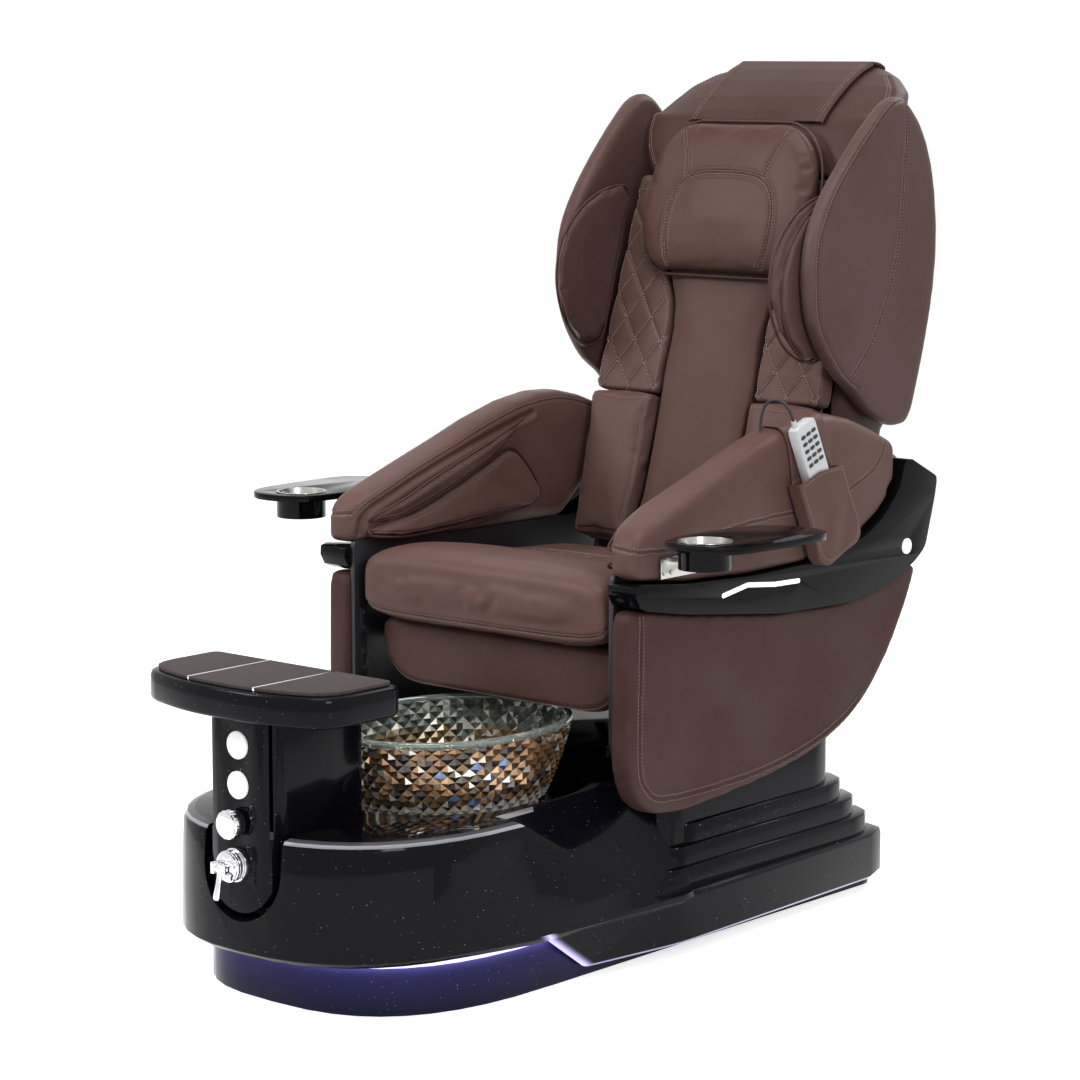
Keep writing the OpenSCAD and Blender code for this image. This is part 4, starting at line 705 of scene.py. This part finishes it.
# outline (y, z, setback), how far the piece stands off the arm along its low and high edges, thickness, swell
flapShape = {"corner": (-168, 668), "voxel": 0.0042, "upper": ([(-158, 694, 12), (-110, 716, 40), (-10, 755, 60),
            (113, 795, 60), (214, 834, 12), (208, 820, 12), (150, 776, 40), (60, 738, 60), (-40, 706, 60),
            (-110, 686, 40), (-158, 684, 10)], 2, 13, 9, 4), "lower": ([(-162, 668, 12), (-110, 686, 40),
            (-40, 702, 50), (60, 736, 60), (150, 773, 40), (190, 787, 20), (236, 748, 40), (270, 700, 40),
            (240, 674, 40), (113, 662, 60), (-11, 655, 60), (-107, 654, 40), (-160, 660, 12)], 9, 2, 11, 5)}


def armFace(y):
    # how far the arm's inner side is drawn in at its front
    return 30 * eased((-88 - y) / 100) if y < -88 else 0


def slab(name, outline, at, depth, turn):
    # a closed outline as a face, drawn out to a slab; turn puts (a, b, height) in place
    bpy.ops.object.select_all(action="DESELECT")
    bpy.ops.mesh.primitive_circle_add(vertices=len(outline), fill_type="NGON")
    piece = bpy.context.object
    piece.name = name
    for vertex, p in zip(piece.data.vertices, outline):
        vertex.co = turn(p.x, p.y, at)
    move = turn(0, 0, at + depth) - turn(0, 0, at)
    edited((bpy.ops.mesh.extrude_region_move, {"TRANSFORM_OT_translate": {"value": move}}),
        (bpy.ops.mesh.select_all, {"action": "SELECT"}),
        (bpy.ops.mesh.normals_make_consistent, {"inside": False}))
    return piece


for side, hand in sides:
    flaps = []
    for key in ("upper", "lower"):
        corners, lowOff, highOff, thick, swell = flapShape[key]
        line = rounded(corners)
        flap = slab("flap", line, 0, thick, lambda a, b, h: pt(-h, a, b))
        puffed(padded(flap, flapShape["voxel"], 6), swell * mm, pressure=7)
        refined(flap)

        heights = {}

        def settled(p):
            # leans off the arm between its edges, follows the arm's front, and gathers at the front corner
            y, z = p.y / mm, p.z / mm
            if int(y) not in heights:
                hits = [a.y + (b.y - a.y) * (y - a.x) / (b.x - a.x)
                    for a, b in zip(line, line[1:] + line[:1]) if (a.x > y) != (b.x > y)]
                heights[int(y)] = (min(hits), max(hits)) if hits else (z - 4, z + 4)
            bottom, top = heights[int(y)]
            off = lowOff + (highOff - lowOff) * eased((z - bottom) / max(8, top - bottom)) - 0.8 * armFace(y)
            a, b = y - flapShape["corner"][0], z - flapShape["corner"][1]
            folds = 1.5 * math.sin(11 * math.atan2(b, a)) * math.exp(-math.hypot(a, b) / 55)
            folds += 0.9 * math.sin(0.05 * y + 0.11 * z) * math.exp(-((y - 170) / 60) ** 2)
            return Vector((side * (260.5 * mm + p.x - (off + folds) * mm), p.y, p.z))

        for vertex in flap.data.vertices:
            vertex.co = settled(vertex.co)
        if side < 0:
            pick(flap)
            edited((bpy.ops.mesh.normals_make_consistent, {"inside": False}))
        flap.data.update()
        edge = [settled(Vector((-(thick + 2) * mm, p.x * mm, p.y * mm))) for p in drawnIn(line, -6)]
        sew(flap, "flaps" + hand, (edge, {"rows": (0,), "depth": 1.6, "width": 3, "line": 0, "closed": True}))
        rim = [settled(Vector((-thick * 0.5 * mm, p.x * mm, p.y * mm))) for p in line]
        cordAlong("flaps" + hand + "Piping", curved(rim, 0.005, True), 2.3 * mm, True)
        flaps.append(flap)
    flap = joined("armFlaps" + hand, flaps)
    upholstered(flap, "chair_top", leather, 0.5, *(["arm_airbags"] if side > 0 else []))
print("flaps done")

# ---- backrest ----
backShape = {"half": [(114, 12), (105, 130), (105, 220), (109, 320), (107, 410), (113, 455), (138, 510), (152, 560),
        (160, 690)], "diamond": (60, 85), "quiltDepth": 2.6}


def halfAt(v):
    line = backShape["half"]
    for (a, va), (b, vb) in zip(line, line[1:]):
        if va <= v <= vb:
            return a + (b - a) * (v - va) / (vb - va)
    return line[-1][0]


def beside(v0, v1, out0, out1):
    edge = [p for p in backShape["half"] if v0 + 8 < p[1] < v1 - 8]
    gap = 1.2
    return rounded([(out0, v0, 14), (out1, v1, 14), (halfAt(v1) + gap, v1, 4),
        *((half + gap, v, 20) for half, v in reversed(edge)), (halfAt(v0) + gap, v0, 4)])


centrePad = soft("back_pad", "centrePad", 0.006, 6, 0.003, 0.004)
upholstered(centrePad, "backrest", softLeather, 0.7, "back_pad")

quilt = soft("quilted_panels", "quiltedPanels", 0.0045, 3)
wide, tall = backShape["diamond"]
slope = tall / wide
steep = math.hypot(1, slope)
for vertex in quilt.data.vertices:
    u, v, w = offBack(vertex.co)
    if w < -30:
        continue
    gaps = []
    for way in (1, -1):
        rest = ((v - 40 - way * slope * (abs(u) - 180)) / tall) % 1.0
        gaps.append(min(rest, 1 - rest) * tall / steep)
    d = min(gaps)
    push = -backShape["quiltDepth"] * math.exp(-(d / 3.4) ** 2) + 1.6 * (1 - math.exp(-(d / 13) ** 2))
    vertex.co += onBack(0, 0, push - 0.6) - onBack(0, 0, 0)
quilt.data.update()
quiltTree = surfaceOf(quilt)
field = drawnIn(beside(286.3, 690, 254, 236), 5)
for side, hand in sides:
    for way in (1, -1):
        for k in range(-2, 12):
            run = []
            for step in range(0, 260):
                u = 90 + step * 0.75
                v = 40 + way * slope * (u - 180) + k * tall
                if inside(field, u, v) and v < 600:
                    run.append(onBack(side * u, v, -4))
                elif run:
                    break
            if len(run) > 8:
                stitches("quilt", quiltTree, run[::3])
    edge = curved([onBack(side * p.x, p.y, -6) for p in field], 0.004)
    stitches("quilt", quiltTree, [e for e in edge if offBack(e)[1] < 660])
upholstered(quilt, "backrest", quiltLeather, 0.5, "quilted_panels")

lumbar = soft("lumbar_pads", "lumbarPads", 0.005, 8, 0.003, 0.005)
line = drawnIn(beside(12, 286, 238, 254), 9)
sew(lumbar, "lumbar", *[([onBack(side * p.x, p.y, 12) for p in line],
            {"rows": (0,), "line": 0, "closed": True}) for side, hand in sides])
upholstered(lumbar, "backrest", quiltLeather, 0.6, "lumbar_pads")

wingShape = {"voxel": 0.0065, "outer": 303, "turnIn": 9, "outerSeam": [(-40, 836), (-56, 790), (-70, 720),
        (-86, 640), (-92, 560), (-84, 490), (-62, 410), (-20, 340)],
    "frontSeam": [(-28, 842), (2, 820), (38, 764), (72, 702), (100, 644), (120, 572), (120, 520), (106, 467),
        (84, 416), (44, 376), (-4, 344), (-50, 332)]}
for side, hand in sides:
    wing = soft("wing_" + hand.lower(), "wing" + hand, wingShape["voxel"], 6)
    sew(wing, "wing" + hand, *[([onBack(side * (wingShape["outer"] - wingShape["turnIn"] * eased((w + 20) / 156)),
                        v, w) for w, v in wingShape[key]],
                {"rows": rows, "width": 3.4}) for key, rows in (("outerSeam", (-3.4, 3.4)), ("frontSeam", (3.4,)))])
    upholstered(wing, "backrest", wingLeather, 0.9, "wing_" + hand.lower())

shoulderShape = {"inner": 256.9, "apart": 9.3, "grow": 0.17, "outline": [(2, 376, 40), (36, 350, 40), (84, 362, 40),
        (124, 400, 40), (148, 452, 40), (152, 510, 40), (134, 566, 40), (98, 616, 40), (50, 650, 40), (2, 664, 40),
        (2, 520, 40)]}
shoulder = soft("shoulder_pads", "shoulderPads", 0.0035, 4, 0.001, 0.003, pressure=3)
for side, hand in sides:
    for k in (0, 1):
        rim = []
        for p in rounded(shoulderShape["outline"], 4):
            w = p.x * (1 + shoulderShape["grow"] * k)
            x = shoulderShape["inner"] - k * shoulderShape["apart"] - wingShape["turnIn"] * eased((w + 20) / 156)
            rim.append(onBack(side * x, p.y, w))
        cordAlong("shoulderPiping", curved(rim, 0.005, True), 2.4 * mm, True)
upholstered(shoulder, "backrest", wingLeather, 0.5, "shoulder_pads")

headShape = {"rim": [(214, 696, -12), (240, 740, -15), (250, 780, -21), (252, 809, -38), (245, 845, -64),
        (228, 880, -94), (194, 908, -122)], "bandRows": [(792, -10), (812, -20), (845, -42), (880, -70),
        (910, -100), (931, -128)]}
head = soft("head_cushion", "headCushion", 0.006, 6)
sew(head, "head", *[([onBack(side * u, v, w) for u, v, w in headShape["rim"]],
            {"rows": (-4 * side, -9 * side), "width": 3.4}) for side, hand in sides])
upholstered(head, "backrest", headLeatherShaded, 0.8, "head_cushion")
band = soft("head_band", "headBand", 0.003, 2)
bandTree = surfaceOf(band)
for side, hand in sides:
    for u in (136, 142):
        stitches("band", bandTree, laid(bandTree, curved([onBack(side * u, v, w) for v, w in headShape["bandRows"]],
                    0.004)))
    edge = [onBack(side * 148, v, w - 3) for v, w in headShape["bandRows"]]
    cordAlong("bandPiping", curved(edge, 0.005), 2.8 * mm)
upholstered(band, "backrest", headLeatherShaded, 0.3, "head_band")
print("backrest done")

# ---- pillow ----
pillowShape = {"corners": [(-147, 501, 70), (147, 501, 70), (189, 561, 60), (197, 641, 60), (183, 731, 60),
        (127, 787, 90), (-127, 787, 90), (-183, 731, 60), (-197, 641, 60), (-189, 561, 60)],
    "inner": [(-106, 507), (-117, 560), (-117, 612), (-103, 655), (-70, 678), (0, 684), (70, 678), (103, 655),
        (117, 612), (117, 560), (106, 507)], "up": [(86, 674), (95, 715), (120, 768)]}
pillow = soft("pillow", "headPillow", 0.0045, 8, 0.003, 0.006)
sew(pillow, "pillow", ([onBack(u, v, 46) for u, v in pillowShape["inner"]],
        {"depth": 2.2, "width": 3.6, "swell": 0.8}), *[([onBack(side * u, v, 42) for u, v in pillowShape["up"]],
            {"depth": 2.0, "swell": 0.6}) for side, hand in sides])
pillowRim = [onBack(p.x, p.y, 10) for p in drawnIn(rounded(pillowShape["corners"], 5), 1)]
cordAlong("pillowPiping", curved(pillowRim, 0.005, True), 3 * mm, True)
upholstered(pillow, "head_pillow", pillowLeather, 0.8, "pillow")
print("pillow done")

# ---- pouch: its mouth lies nearly level, its lower corners are round ----
pouchShape = {"at": (374.4, 262, 786), "lean": 22, "out": 3, "half": 61, "height": 158, "tilt": 20, "corner": 24,
    "voxel": 0.0021}


def pouchPlace(a, b, c):
    # a across, b out of the side, c up the pouch
    out, tip = math.radians(pouchShape["out"]), math.radians(pouchShape["lean"])
    x, y, z = b, -a, c
    x, z = x * math.cos(out) - z * math.sin(out), x * math.sin(out) + z * math.cos(out)
    y, z = y * math.cos(tip) - z * math.sin(tip), y * math.sin(tip) + z * math.cos(tip)
    at = pouchShape["at"]
    return pt(at[0] + x, at[1] + y, at[2] + z)


def offPouch(p):
    out, tip = math.radians(pouchShape["out"]), math.radians(pouchShape["lean"])
    x, y, z = (p[i] / mm - pouchShape["at"][i] for i in range(3))
    y, z = y * math.cos(tip) + z * math.sin(tip), z * math.cos(tip) - y * math.sin(tip)
    x, z = x * math.cos(out) + z * math.sin(out), z * math.cos(out) - x * math.sin(out)
    return -y, x, z


def pouchSet(a, b, c):
    # the box of the solid bent to the real outline: a low mouth at the back, and corners that curve away
    if c > 2 or abs(a) > pouchShape["half"] + 3 or c < -pouchShape["height"] - 3:
        return a, b, c
    level = 1 + c / pouchShape["height"]
    c += a / pouchShape["half"] * pouchShape["tilt"] * level ** 2 * (1 if a < 0 else 0.2)
    low = -pouchShape["height"] + pouchShape["corner"]
    if c < low:
        across = pouchShape["half"] - pouchShape["corner"] * (1 - math.sqrt(max(0,
                    1 - ((low - c) / pouchShape["corner"]) ** 2)))
        a *= across / pouchShape["half"]
    b += 1.3 * math.sin(a * 0.09 + c * 0.05) * math.exp(-((c + 120) / 40) ** 2) if b > -6 else 0
    return a, b, c


pouch = padded(copyNode("pouch", "remotePouch"), pouchShape["voxel"], 3)
pick(pouch)
bpy.ops.object.shade_smooth()
for vertex in pouch.data.vertices:
    if vertex.co.x > 0.352:
        vertex.co = pouchPlace(*pouchSet(*offPouch(vertex.co)))
pouch.data.update()
upholstered(pouch, "chair_top", leather, 0.3, "pouch")
pouchTree = surfaceOf(pouch)
for line in ([(-55, -8), (-55, -60), (-55, -118), (-50, -140), (-38, -151), (0, -152), (38, -151), (50, -140),
        (55, -118), (55, -60), (55, -8)], [(-52, -7), (0, -7), (52, -7)]):
    stitches("pouch", pouchTree, laid(pouchTree, curved([pouchPlace(*pouchSet(a, 3, c)) for a, c in line], 0.004)))

# ---- threads and piping, one piece for each part of the chair ----
def bodyOf(key):
    if key.startswith("pillow"):
        return "head_pillow"
    return "backrest" if key.startswith(("quilt", "lumbar", "wing", "shoulder", "head", "band")) else "chair_top"


for key, dashes in threads.items():
    sewnRows = tube(key + "Thread", dashes, thread["radius"] * mm, 0)
    finish(sewnRows, bodyOf(key), "brown_leather", paleThread if key == "quilt" else threadFinish)
for key in dict.fromkeys(key for key, radius in cords):
    parts = [tube(key, lines, radius, 1) for (name, radius), lines in cords.items() if name == key]
    finish(joined(key, parts), bodyOf(key), "brown_leather", jointShadeFinish if key.endswith("Joint") else cordLeather)
print("threads done")

# ---- moulded base, tower and footrest ----
finish(crisp("base_shell", "baseShell", 0.004, 32, 4), "base", "gloss_black", baseBlack, "base_shell")
finish(crisp("control_tower", "controlTower", 0.002, 32, 3), "base", "gloss_black", baseBlack, "control_tower")
finish(crisp("footrest_shell", "footrestShell", 0.0015, 40, 2), "base", "gloss_black", baseBlack, "footrest_shell")

padFinish, padTree, padShader = surface("padGrain", rough=0.8, shine=0.25)
where = objectPlace(padTree)
speck = sums(padTree, "GREATER_THAN", noise(padTree, where, 900, 2.0), 0.56)
padTree.links.new(blended(padTree, speck, (0.035, 0.028, 0.028), (0.12, 0.09, 0.085)),
    padShader.inputs["Base Color"])
roughened(padTree, padShader, 620, 0.5)
finish(crisp("footrest_pads", "footrestPads", 0.0016, 40, 3), "base", "footrest_rubber", padFinish, "footrest_pads")

# plinth: painted glow of the light strip (emission on the plinth, which is no lamp) fades down it, in front of the
# rib steps
glow = {"top": 0.083, "front": (-0.05, -0.25), "deep": (0.004, 0.004, 0.022), "wash": (0.012, 0.010, 0.085),
    "bright": (0.30, 0.26, 1.0), "strip": 2.2}
plinthFinish, plinthTree, plinthShader = glossSurface("plinthPaintedGlow", colours["black"], 0.12, 0.04, 380.0)
across, along, up = axesOf(plinthTree)
rise = sums(plinthTree, "MINIMUM", sums(plinthTree, "MAXIMUM", sums(plinthTree, "DIVIDE", up, glow["top"]), 0.0),
    1.0)
wash = blended(plinthTree, sums(plinthTree, "POWER", rise, 1.5), glow["deep"],
    tuple(a + b for a, b in zip(glow["deep"], glow["wash"])))
lit = blended(plinthTree, sums(plinthTree, "POWER", rise, 14.0), wash, glow["bright"])
near, far = glow["front"]
ahead = sums(plinthTree, "MINIMUM", sums(plinthTree, "MAXIMUM", sums(plinthTree, "DIVIDE",
            sums(plinthTree, "SUBTRACT", near, along), near - far), 0.0), 1.0)
plinthTree.links.new(blended(plinthTree, ahead, (0.0, 0.0, 0.0), lit), plinthShader.inputs["Emission Color"])
plinthShader.inputs["Emission Strength"].default_value = 1.0
finish(crisp("plinth", "plinthRing", 0.0008), "base", "gloss_black", plinthFinish, "plinth")
ledFinish, ledTree, ledShader = surface("lightStrip", base=(0.3, 0.3, 0.8), rough=0.4)
ledShader.inputs["Emission Strength"].default_value = glow["strip"]
ledTree.links.new(blended(ledTree, noise(ledTree, objectPlace(ledTree), 60, 1.0), (0.42, 0.36, 1.0),
        (0.75, 0.72, 1.0)), ledShader.inputs["Emission Color"])
nodes["led_strip"].data.materials.clear()
nodes["led_strip"].data.materials.append(ledFinish)
print("base done")

# ---- bowl: walls cut in diamonds outside and inside, and a clear rolled rim ----
bowlShape = {"middle": (0, -254), "half": (182, 228), "power": 2.15, "around": 48, "seed": 7, "cut": 0.0042,
    "glint": (0.95, 0.90, 0.78),
    "rows": [(0.765, 262), (0.812, 282), (0.856, 303), (0.895, 324), (0.927, 345), (0.953, 366), (0.970, 384)],
    "lining": [(0.715, 270), (0.765, 284), (0.812, 303), (0.853, 324), (0.888, 345), (0.918, 366), (0.940, 386)],
    # light: painted light and shade on a diamond's four facets, by which way each faces
    "light": {(-1, 1): 1.5, (1, 1): 0.9, (-1, -1): 0.8, (1, -1): 0.4}}


def oval(t, scale):
    c, s = math.cos(t), math.sin(t)
    e = 2 / bowlShape["power"]
    a, b = bowlShape["half"]
    return (bowlShape["middle"][0] + a * scale * math.copysign(abs(c) ** e, c),
        bowlShape["middle"][1] + b * scale * math.copysign(abs(s) ** e, s))


def diamonds(name, rings, out, tint):
    # open wall through rings of (scale, height), drawn up from a circle;
    # its squares become raised diamonds, each of its own colour, with painted light and shade on its facets and
    # painted glints
    bpy.ops.object.select_all(action="DESELECT")
    bpy.ops.mesh.primitive_circle_add(vertices=bowlShape["around"])
    wall = bpy.context.object
    wall.name = name
    bpy.ops.object.mode_set(mode="EDIT")
    bpy.ops.mesh.select_mode(type="EDGE")
    bpy.ops.mesh.select_all(action="SELECT")
    for k in range(1, len(rings)):
        bpy.ops.mesh.extrude_region_move(TRANSFORM_OT_translate={"value": (0, 0, 1)})
    bpy.ops.object.mode_set(mode="OBJECT")
    for vertex in wall.data.vertices:
        scale, height = rings[round(vertex.co.z)]
        vertex.co = pt(*oval(math.atan2(vertex.co.y, vertex.co.x), scale), height)
    squares = {tuple(sorted(edge.vertices)) for edge in wall.data.edges}
    count = {}
    for polygon in wall.data.polygons:
        for edge in polygon.edge_keys:
            count[edge] = count.get(edge, 0) + 1
    edited((bpy.ops.mesh.poke, {"offset": 0}), (bpy.ops.mesh.select_all, {"action": "DESELECT"}))
    for edge in wall.data.edges:
        key = tuple(sorted(edge.vertices))
        edge.select = key in squares and count.get(key) == 2
    bpy.ops.object.mode_set(mode="EDIT")
    bpy.ops.mesh.dissolve_edges(use_verts=False)
    bpy.ops.mesh.select_all(action="SELECT")
    bpy.ops.mesh.normals_make_consistent(inside=not out)
    bpy.ops.mesh.poke(offset=bowlShape["cut"])
    bpy.ops.object.mode_set(mode="OBJECT")
    tints = wall.data.attributes.new("facet", "FLOAT_COLOR", "FACE")
    chance = random.Random(bowlShape["seed"])
    low, high = rings[0][1], rings[-1][1]
    shades = {}
    # the operators leave the faces in any order, so the colours are drawn by place
    for polygon in sorted(wall.data.polygons, key=lambda face: face.center.dot(Vector((1.0, 0.37, 2.9)))):
        peak = wall.data.vertices[max(polygon.vertices)].co / mm
        if max(polygon.vertices) not in shades:
            shades[max(polygon.vertices)] = tint(chance, peak, (peak.z - low) / (high - low))
        off = polygon.center / mm - peak
        turn = (peak.x - bowlShape["middle"][0]) * off.y - (peak.y - bowlShape["middle"][1]) * off.x
        # painted light and shade: each facet is lighter or darker by which way it faces, lightest up and to the
        # left; about one facet in nine is a painted white glint
        facet = bowlShape["light"][(1 if turn > 0 else -1, 1 if off.z > 0 else -1)] * (0.7 + 0.6 * chance.random())
        glint = 1.0 if chance.random() > 0.89 else 0.0
        colour = [min(1, c * facet) * (1 - glint) + g * glint
            for c, g in zip(shades[max(polygon.vertices)], bowlShape["glint"])]
        tints.data[polygon.index].color = (*colour, 1)
    return wall


def scaled(colour, k):
    return tuple(c * k for c in colour)


def outerTintAndGlints(chance, at, rise):
    pick, bright = chance.random(), chance.random()
    if rise < 0.14:
        return (0.80, 0.72, 0.58)
    # painted blue glints on the near side
    if at.x > 60 and rise < 0.75 and pick > 0.93:
        return (0.22, 0.30, 0.52)
    if pick < 0.25:
        return (0.10, 0.08, 0.06)
    return scaled((0.34, 0.20, 0.10), 0.7 + 0.7 * bright)


def innerTint(chance, at, rise):
    pick, bright = chance.random(), chance.random()
    if rise > 0.6 or pick > 0.8:
        return scaled((0.25, 0.29, 0.25), 0.5 + 0.6 * bright)
    return scaled((0.24, 0.165, 0.08), 0.4 + bright)


def facetFinish(name, metal):
    finishOf, tree, shader = surface(name, metal=metal, coat=0.6, coatRough=0.02)
    colour = add(tree, "ShaderNodeAttribute", attribute_name="facet")
    tree.links.new(colour.outputs["Color"], shader.inputs["Base Color"])
    shine = place(tree, smears, Base=0.12, Amount=0.1)
    tree.links.new(shine.outputs["Roughness"], shader.inputs["Roughness"])
    return finishOf


bowlOuter = diamonds("bowlFacets", bowlShape["rows"], True, outerTintAndGlints)
finish(bowlOuter, "base", "amber_glass", facetFinish("cutGlass", 0.55), "bowl")
finish(diamonds("bowlLining", bowlShape["lining"], False, innerTint), "base", "amber_glass",
    facetFinish("cutLining", 0.4))
rimFinish, rimTree, rimShader = surface("clearRim", base=(0.82, 0.92, 0.86), rough=0.03, glass=0.85, ior=1.5)
shine = place(rimTree, smears, Base=0.02, Amount=0.04)
rimTree.links.new(shine.outputs["Roughness"], rimShader.inputs["Roughness"])
rimLine = [pt(*oval(2 * math.pi * k / 96, 0.9625), 387.4) for k in range(96)]
finish(tube("bowlRim", [(rimLine, True, 1.0)], 0.0066, 4), "base", "amber_glass", rimFinish)
print("bowl done")

# ---- trims, trays and small parts ----
for hand in ("left", "right"):
    name = hand.title()
    finish(crisp("side_trim_" + hand, "sideTrim" + name, 0.003, 32, 3), "chair_top", "gloss_black", trimBlack,
        "side_trim_" + hand)
    finish(crisp("tray_" + hand, "tray" + name, 0.0016, 32, 2), "side_tray_" + hand, "gloss_black", trimBlack,
        "tray_" + hand)
    finish(crisp("cup_" + hand, "cupRing" + name, 0.0005, 32, 2), "side_tray_" + hand, "brushed", steelFinish,
        "cup_" + hand)
for node, name, body, slotName, finishOf, edge in (("inner_panels", "innerPanels", "chair_top", "matte_black",
        matteBlack, 0.001), ("light_bars", "lightBars", "chair_top", "white_plastic", litWhite, 0.0006),
    ("screw_caps", "screwCaps", "chair_top", "white_plastic", whiteFinish, 0.0012),
    ("tray_brackets", "trayBrackets", "chair_top", "brushed", steelFinish, 0.0005),
    ("footrest_strips", "footrestStrips", "base", "silver_strip", chromeFinish, 0.0003),
    ("button_upper", "upperButton", "upper_button", "white_plastic", whiteFinish, 0.0012),
    ("button_lower", "lowerButton", "lower_button", "white_plastic", whiteFinish, 0.0012),
    ("diverter_knob", "diverterKnob", "knob", "polished_chrome", chromeFinish, 0.0008),
    ("mixer_valve", "mixerCollar", "base", "polished_chrome", chromeFinish, 0.0008),
    ("mixer_cap", "mixerCap", "mixer_cap", "polished_chrome", chromeFinish, 0.0008),
    ("mixer_lever", "mixerLever", "mixer_handle", "polished_chrome", chromeFinish, 0.0006),
    ("filler_spout", "fillerSpout", "base", "polished_chrome", chromeFinish, 0.0005),
    ("remote_body", "remoteBody", "remote", "remote_grey", remoteFinish, 0.0),
    ("remote_keys", "remoteKeys", "remote", "key_black", keyFinish, 0.0004),
    ("back_cover", "backCover", "backrest", "matte_black", coverLeather, 0.0)):
    finish(crisp(node, name, edge), body, slotName, finishOf, node)

for node, finishOf in (("drain_body", chromeFinish), ("drain_stopper", chromeFinish), ("jet_motor", matteBlack),
    ("jet_impeller", whiteFinish), ("jet_cover", chromeFinish), ("diverter_valve", brassFinish),
    ("water_stubs", steelFinish), ("pedestal_frame", darkSteel), ("slide_rails", steelFinish),
    ("seat_frame", darkSteel), ("back_frame", darkSteel), ("massage_carriage", matteBlack),
    ("recline_actuator", matteBlack), ("recline_rod", chromeFinish)):
    nodes[node].data.materials.clear()
    nodes[node].data.materials.append(finishOf)
print("small parts done")

# ---- floor, lights and world ----
studio = {"floor": 9.0, "world": 0.42, "lamps": [((-2.6, -3.4, 3.4), 1.6, 95), ((3.8, -2.0, 2.4), 1.2, 60),
        ((0.6, 2.8, 3.2), 1.6, 45), ((0.3, -0.9, 4.2), 1.8, 70)]}
bpy.ops.object.select_all(action="DESELECT")
bpy.ops.mesh.primitive_plane_add(size=studio["floor"])
floor = bpy.context.object
floor.name = "studioFloor"


def seenBy(tree):
    rays = tree.nodes.new("ShaderNodeLightPath")
    return sums(tree, "MAXIMUM", sums(tree, "MAXIMUM", rays.outputs["Is Camera Ray"],
            rays.outputs["Is Glossy Ray"]), rays.outputs["Is Transmission Ray"])


floorFinish, floorTree, floorShader = surface("studioFloor", base=(0.8, 0.8, 0.8), rough=0.6)
lit = floorTree.nodes.new("ShaderNodeEmission")
floorTree.links.new(product(floorTree, seenBy(floorTree), 0.72), lit.inputs["Strength"])
both = floorTree.nodes.new("ShaderNodeAddShader")
floorTree.links.new(floorShader.outputs[0], both.inputs[0])
floorTree.links.new(lit.outputs[0], both.inputs[1])
floorTree.links.new(both.outputs[0], floorTree.nodes["Material Output"].inputs["Surface"])
floor.data.materials.append(floorFinish)
for where, size, power in studio["lamps"]:
    bpy.ops.object.light_add(type="AREA", location=where)
    lamp = bpy.context.object
    lamp.data.size = size
    lamp.data.energy = power
    lamp.rotation_euler = (Vector((0, 0, 0.75)) - Vector(where)).to_track_quat("-Z", "Y").to_euler()
world = bpy.data.worlds.new("studio")
scene.world = world
world.use_nodes = True
worldTree = world.node_tree
back = worldTree.nodes["Background"]
back.inputs["Color"].default_value = (1, 1, 1, 1)
worldTree.links.new(sums(worldTree, "ADD", product(worldTree, seenBy(worldTree), 1 - studio["world"]),
        studio["world"]), back.inputs["Strength"])
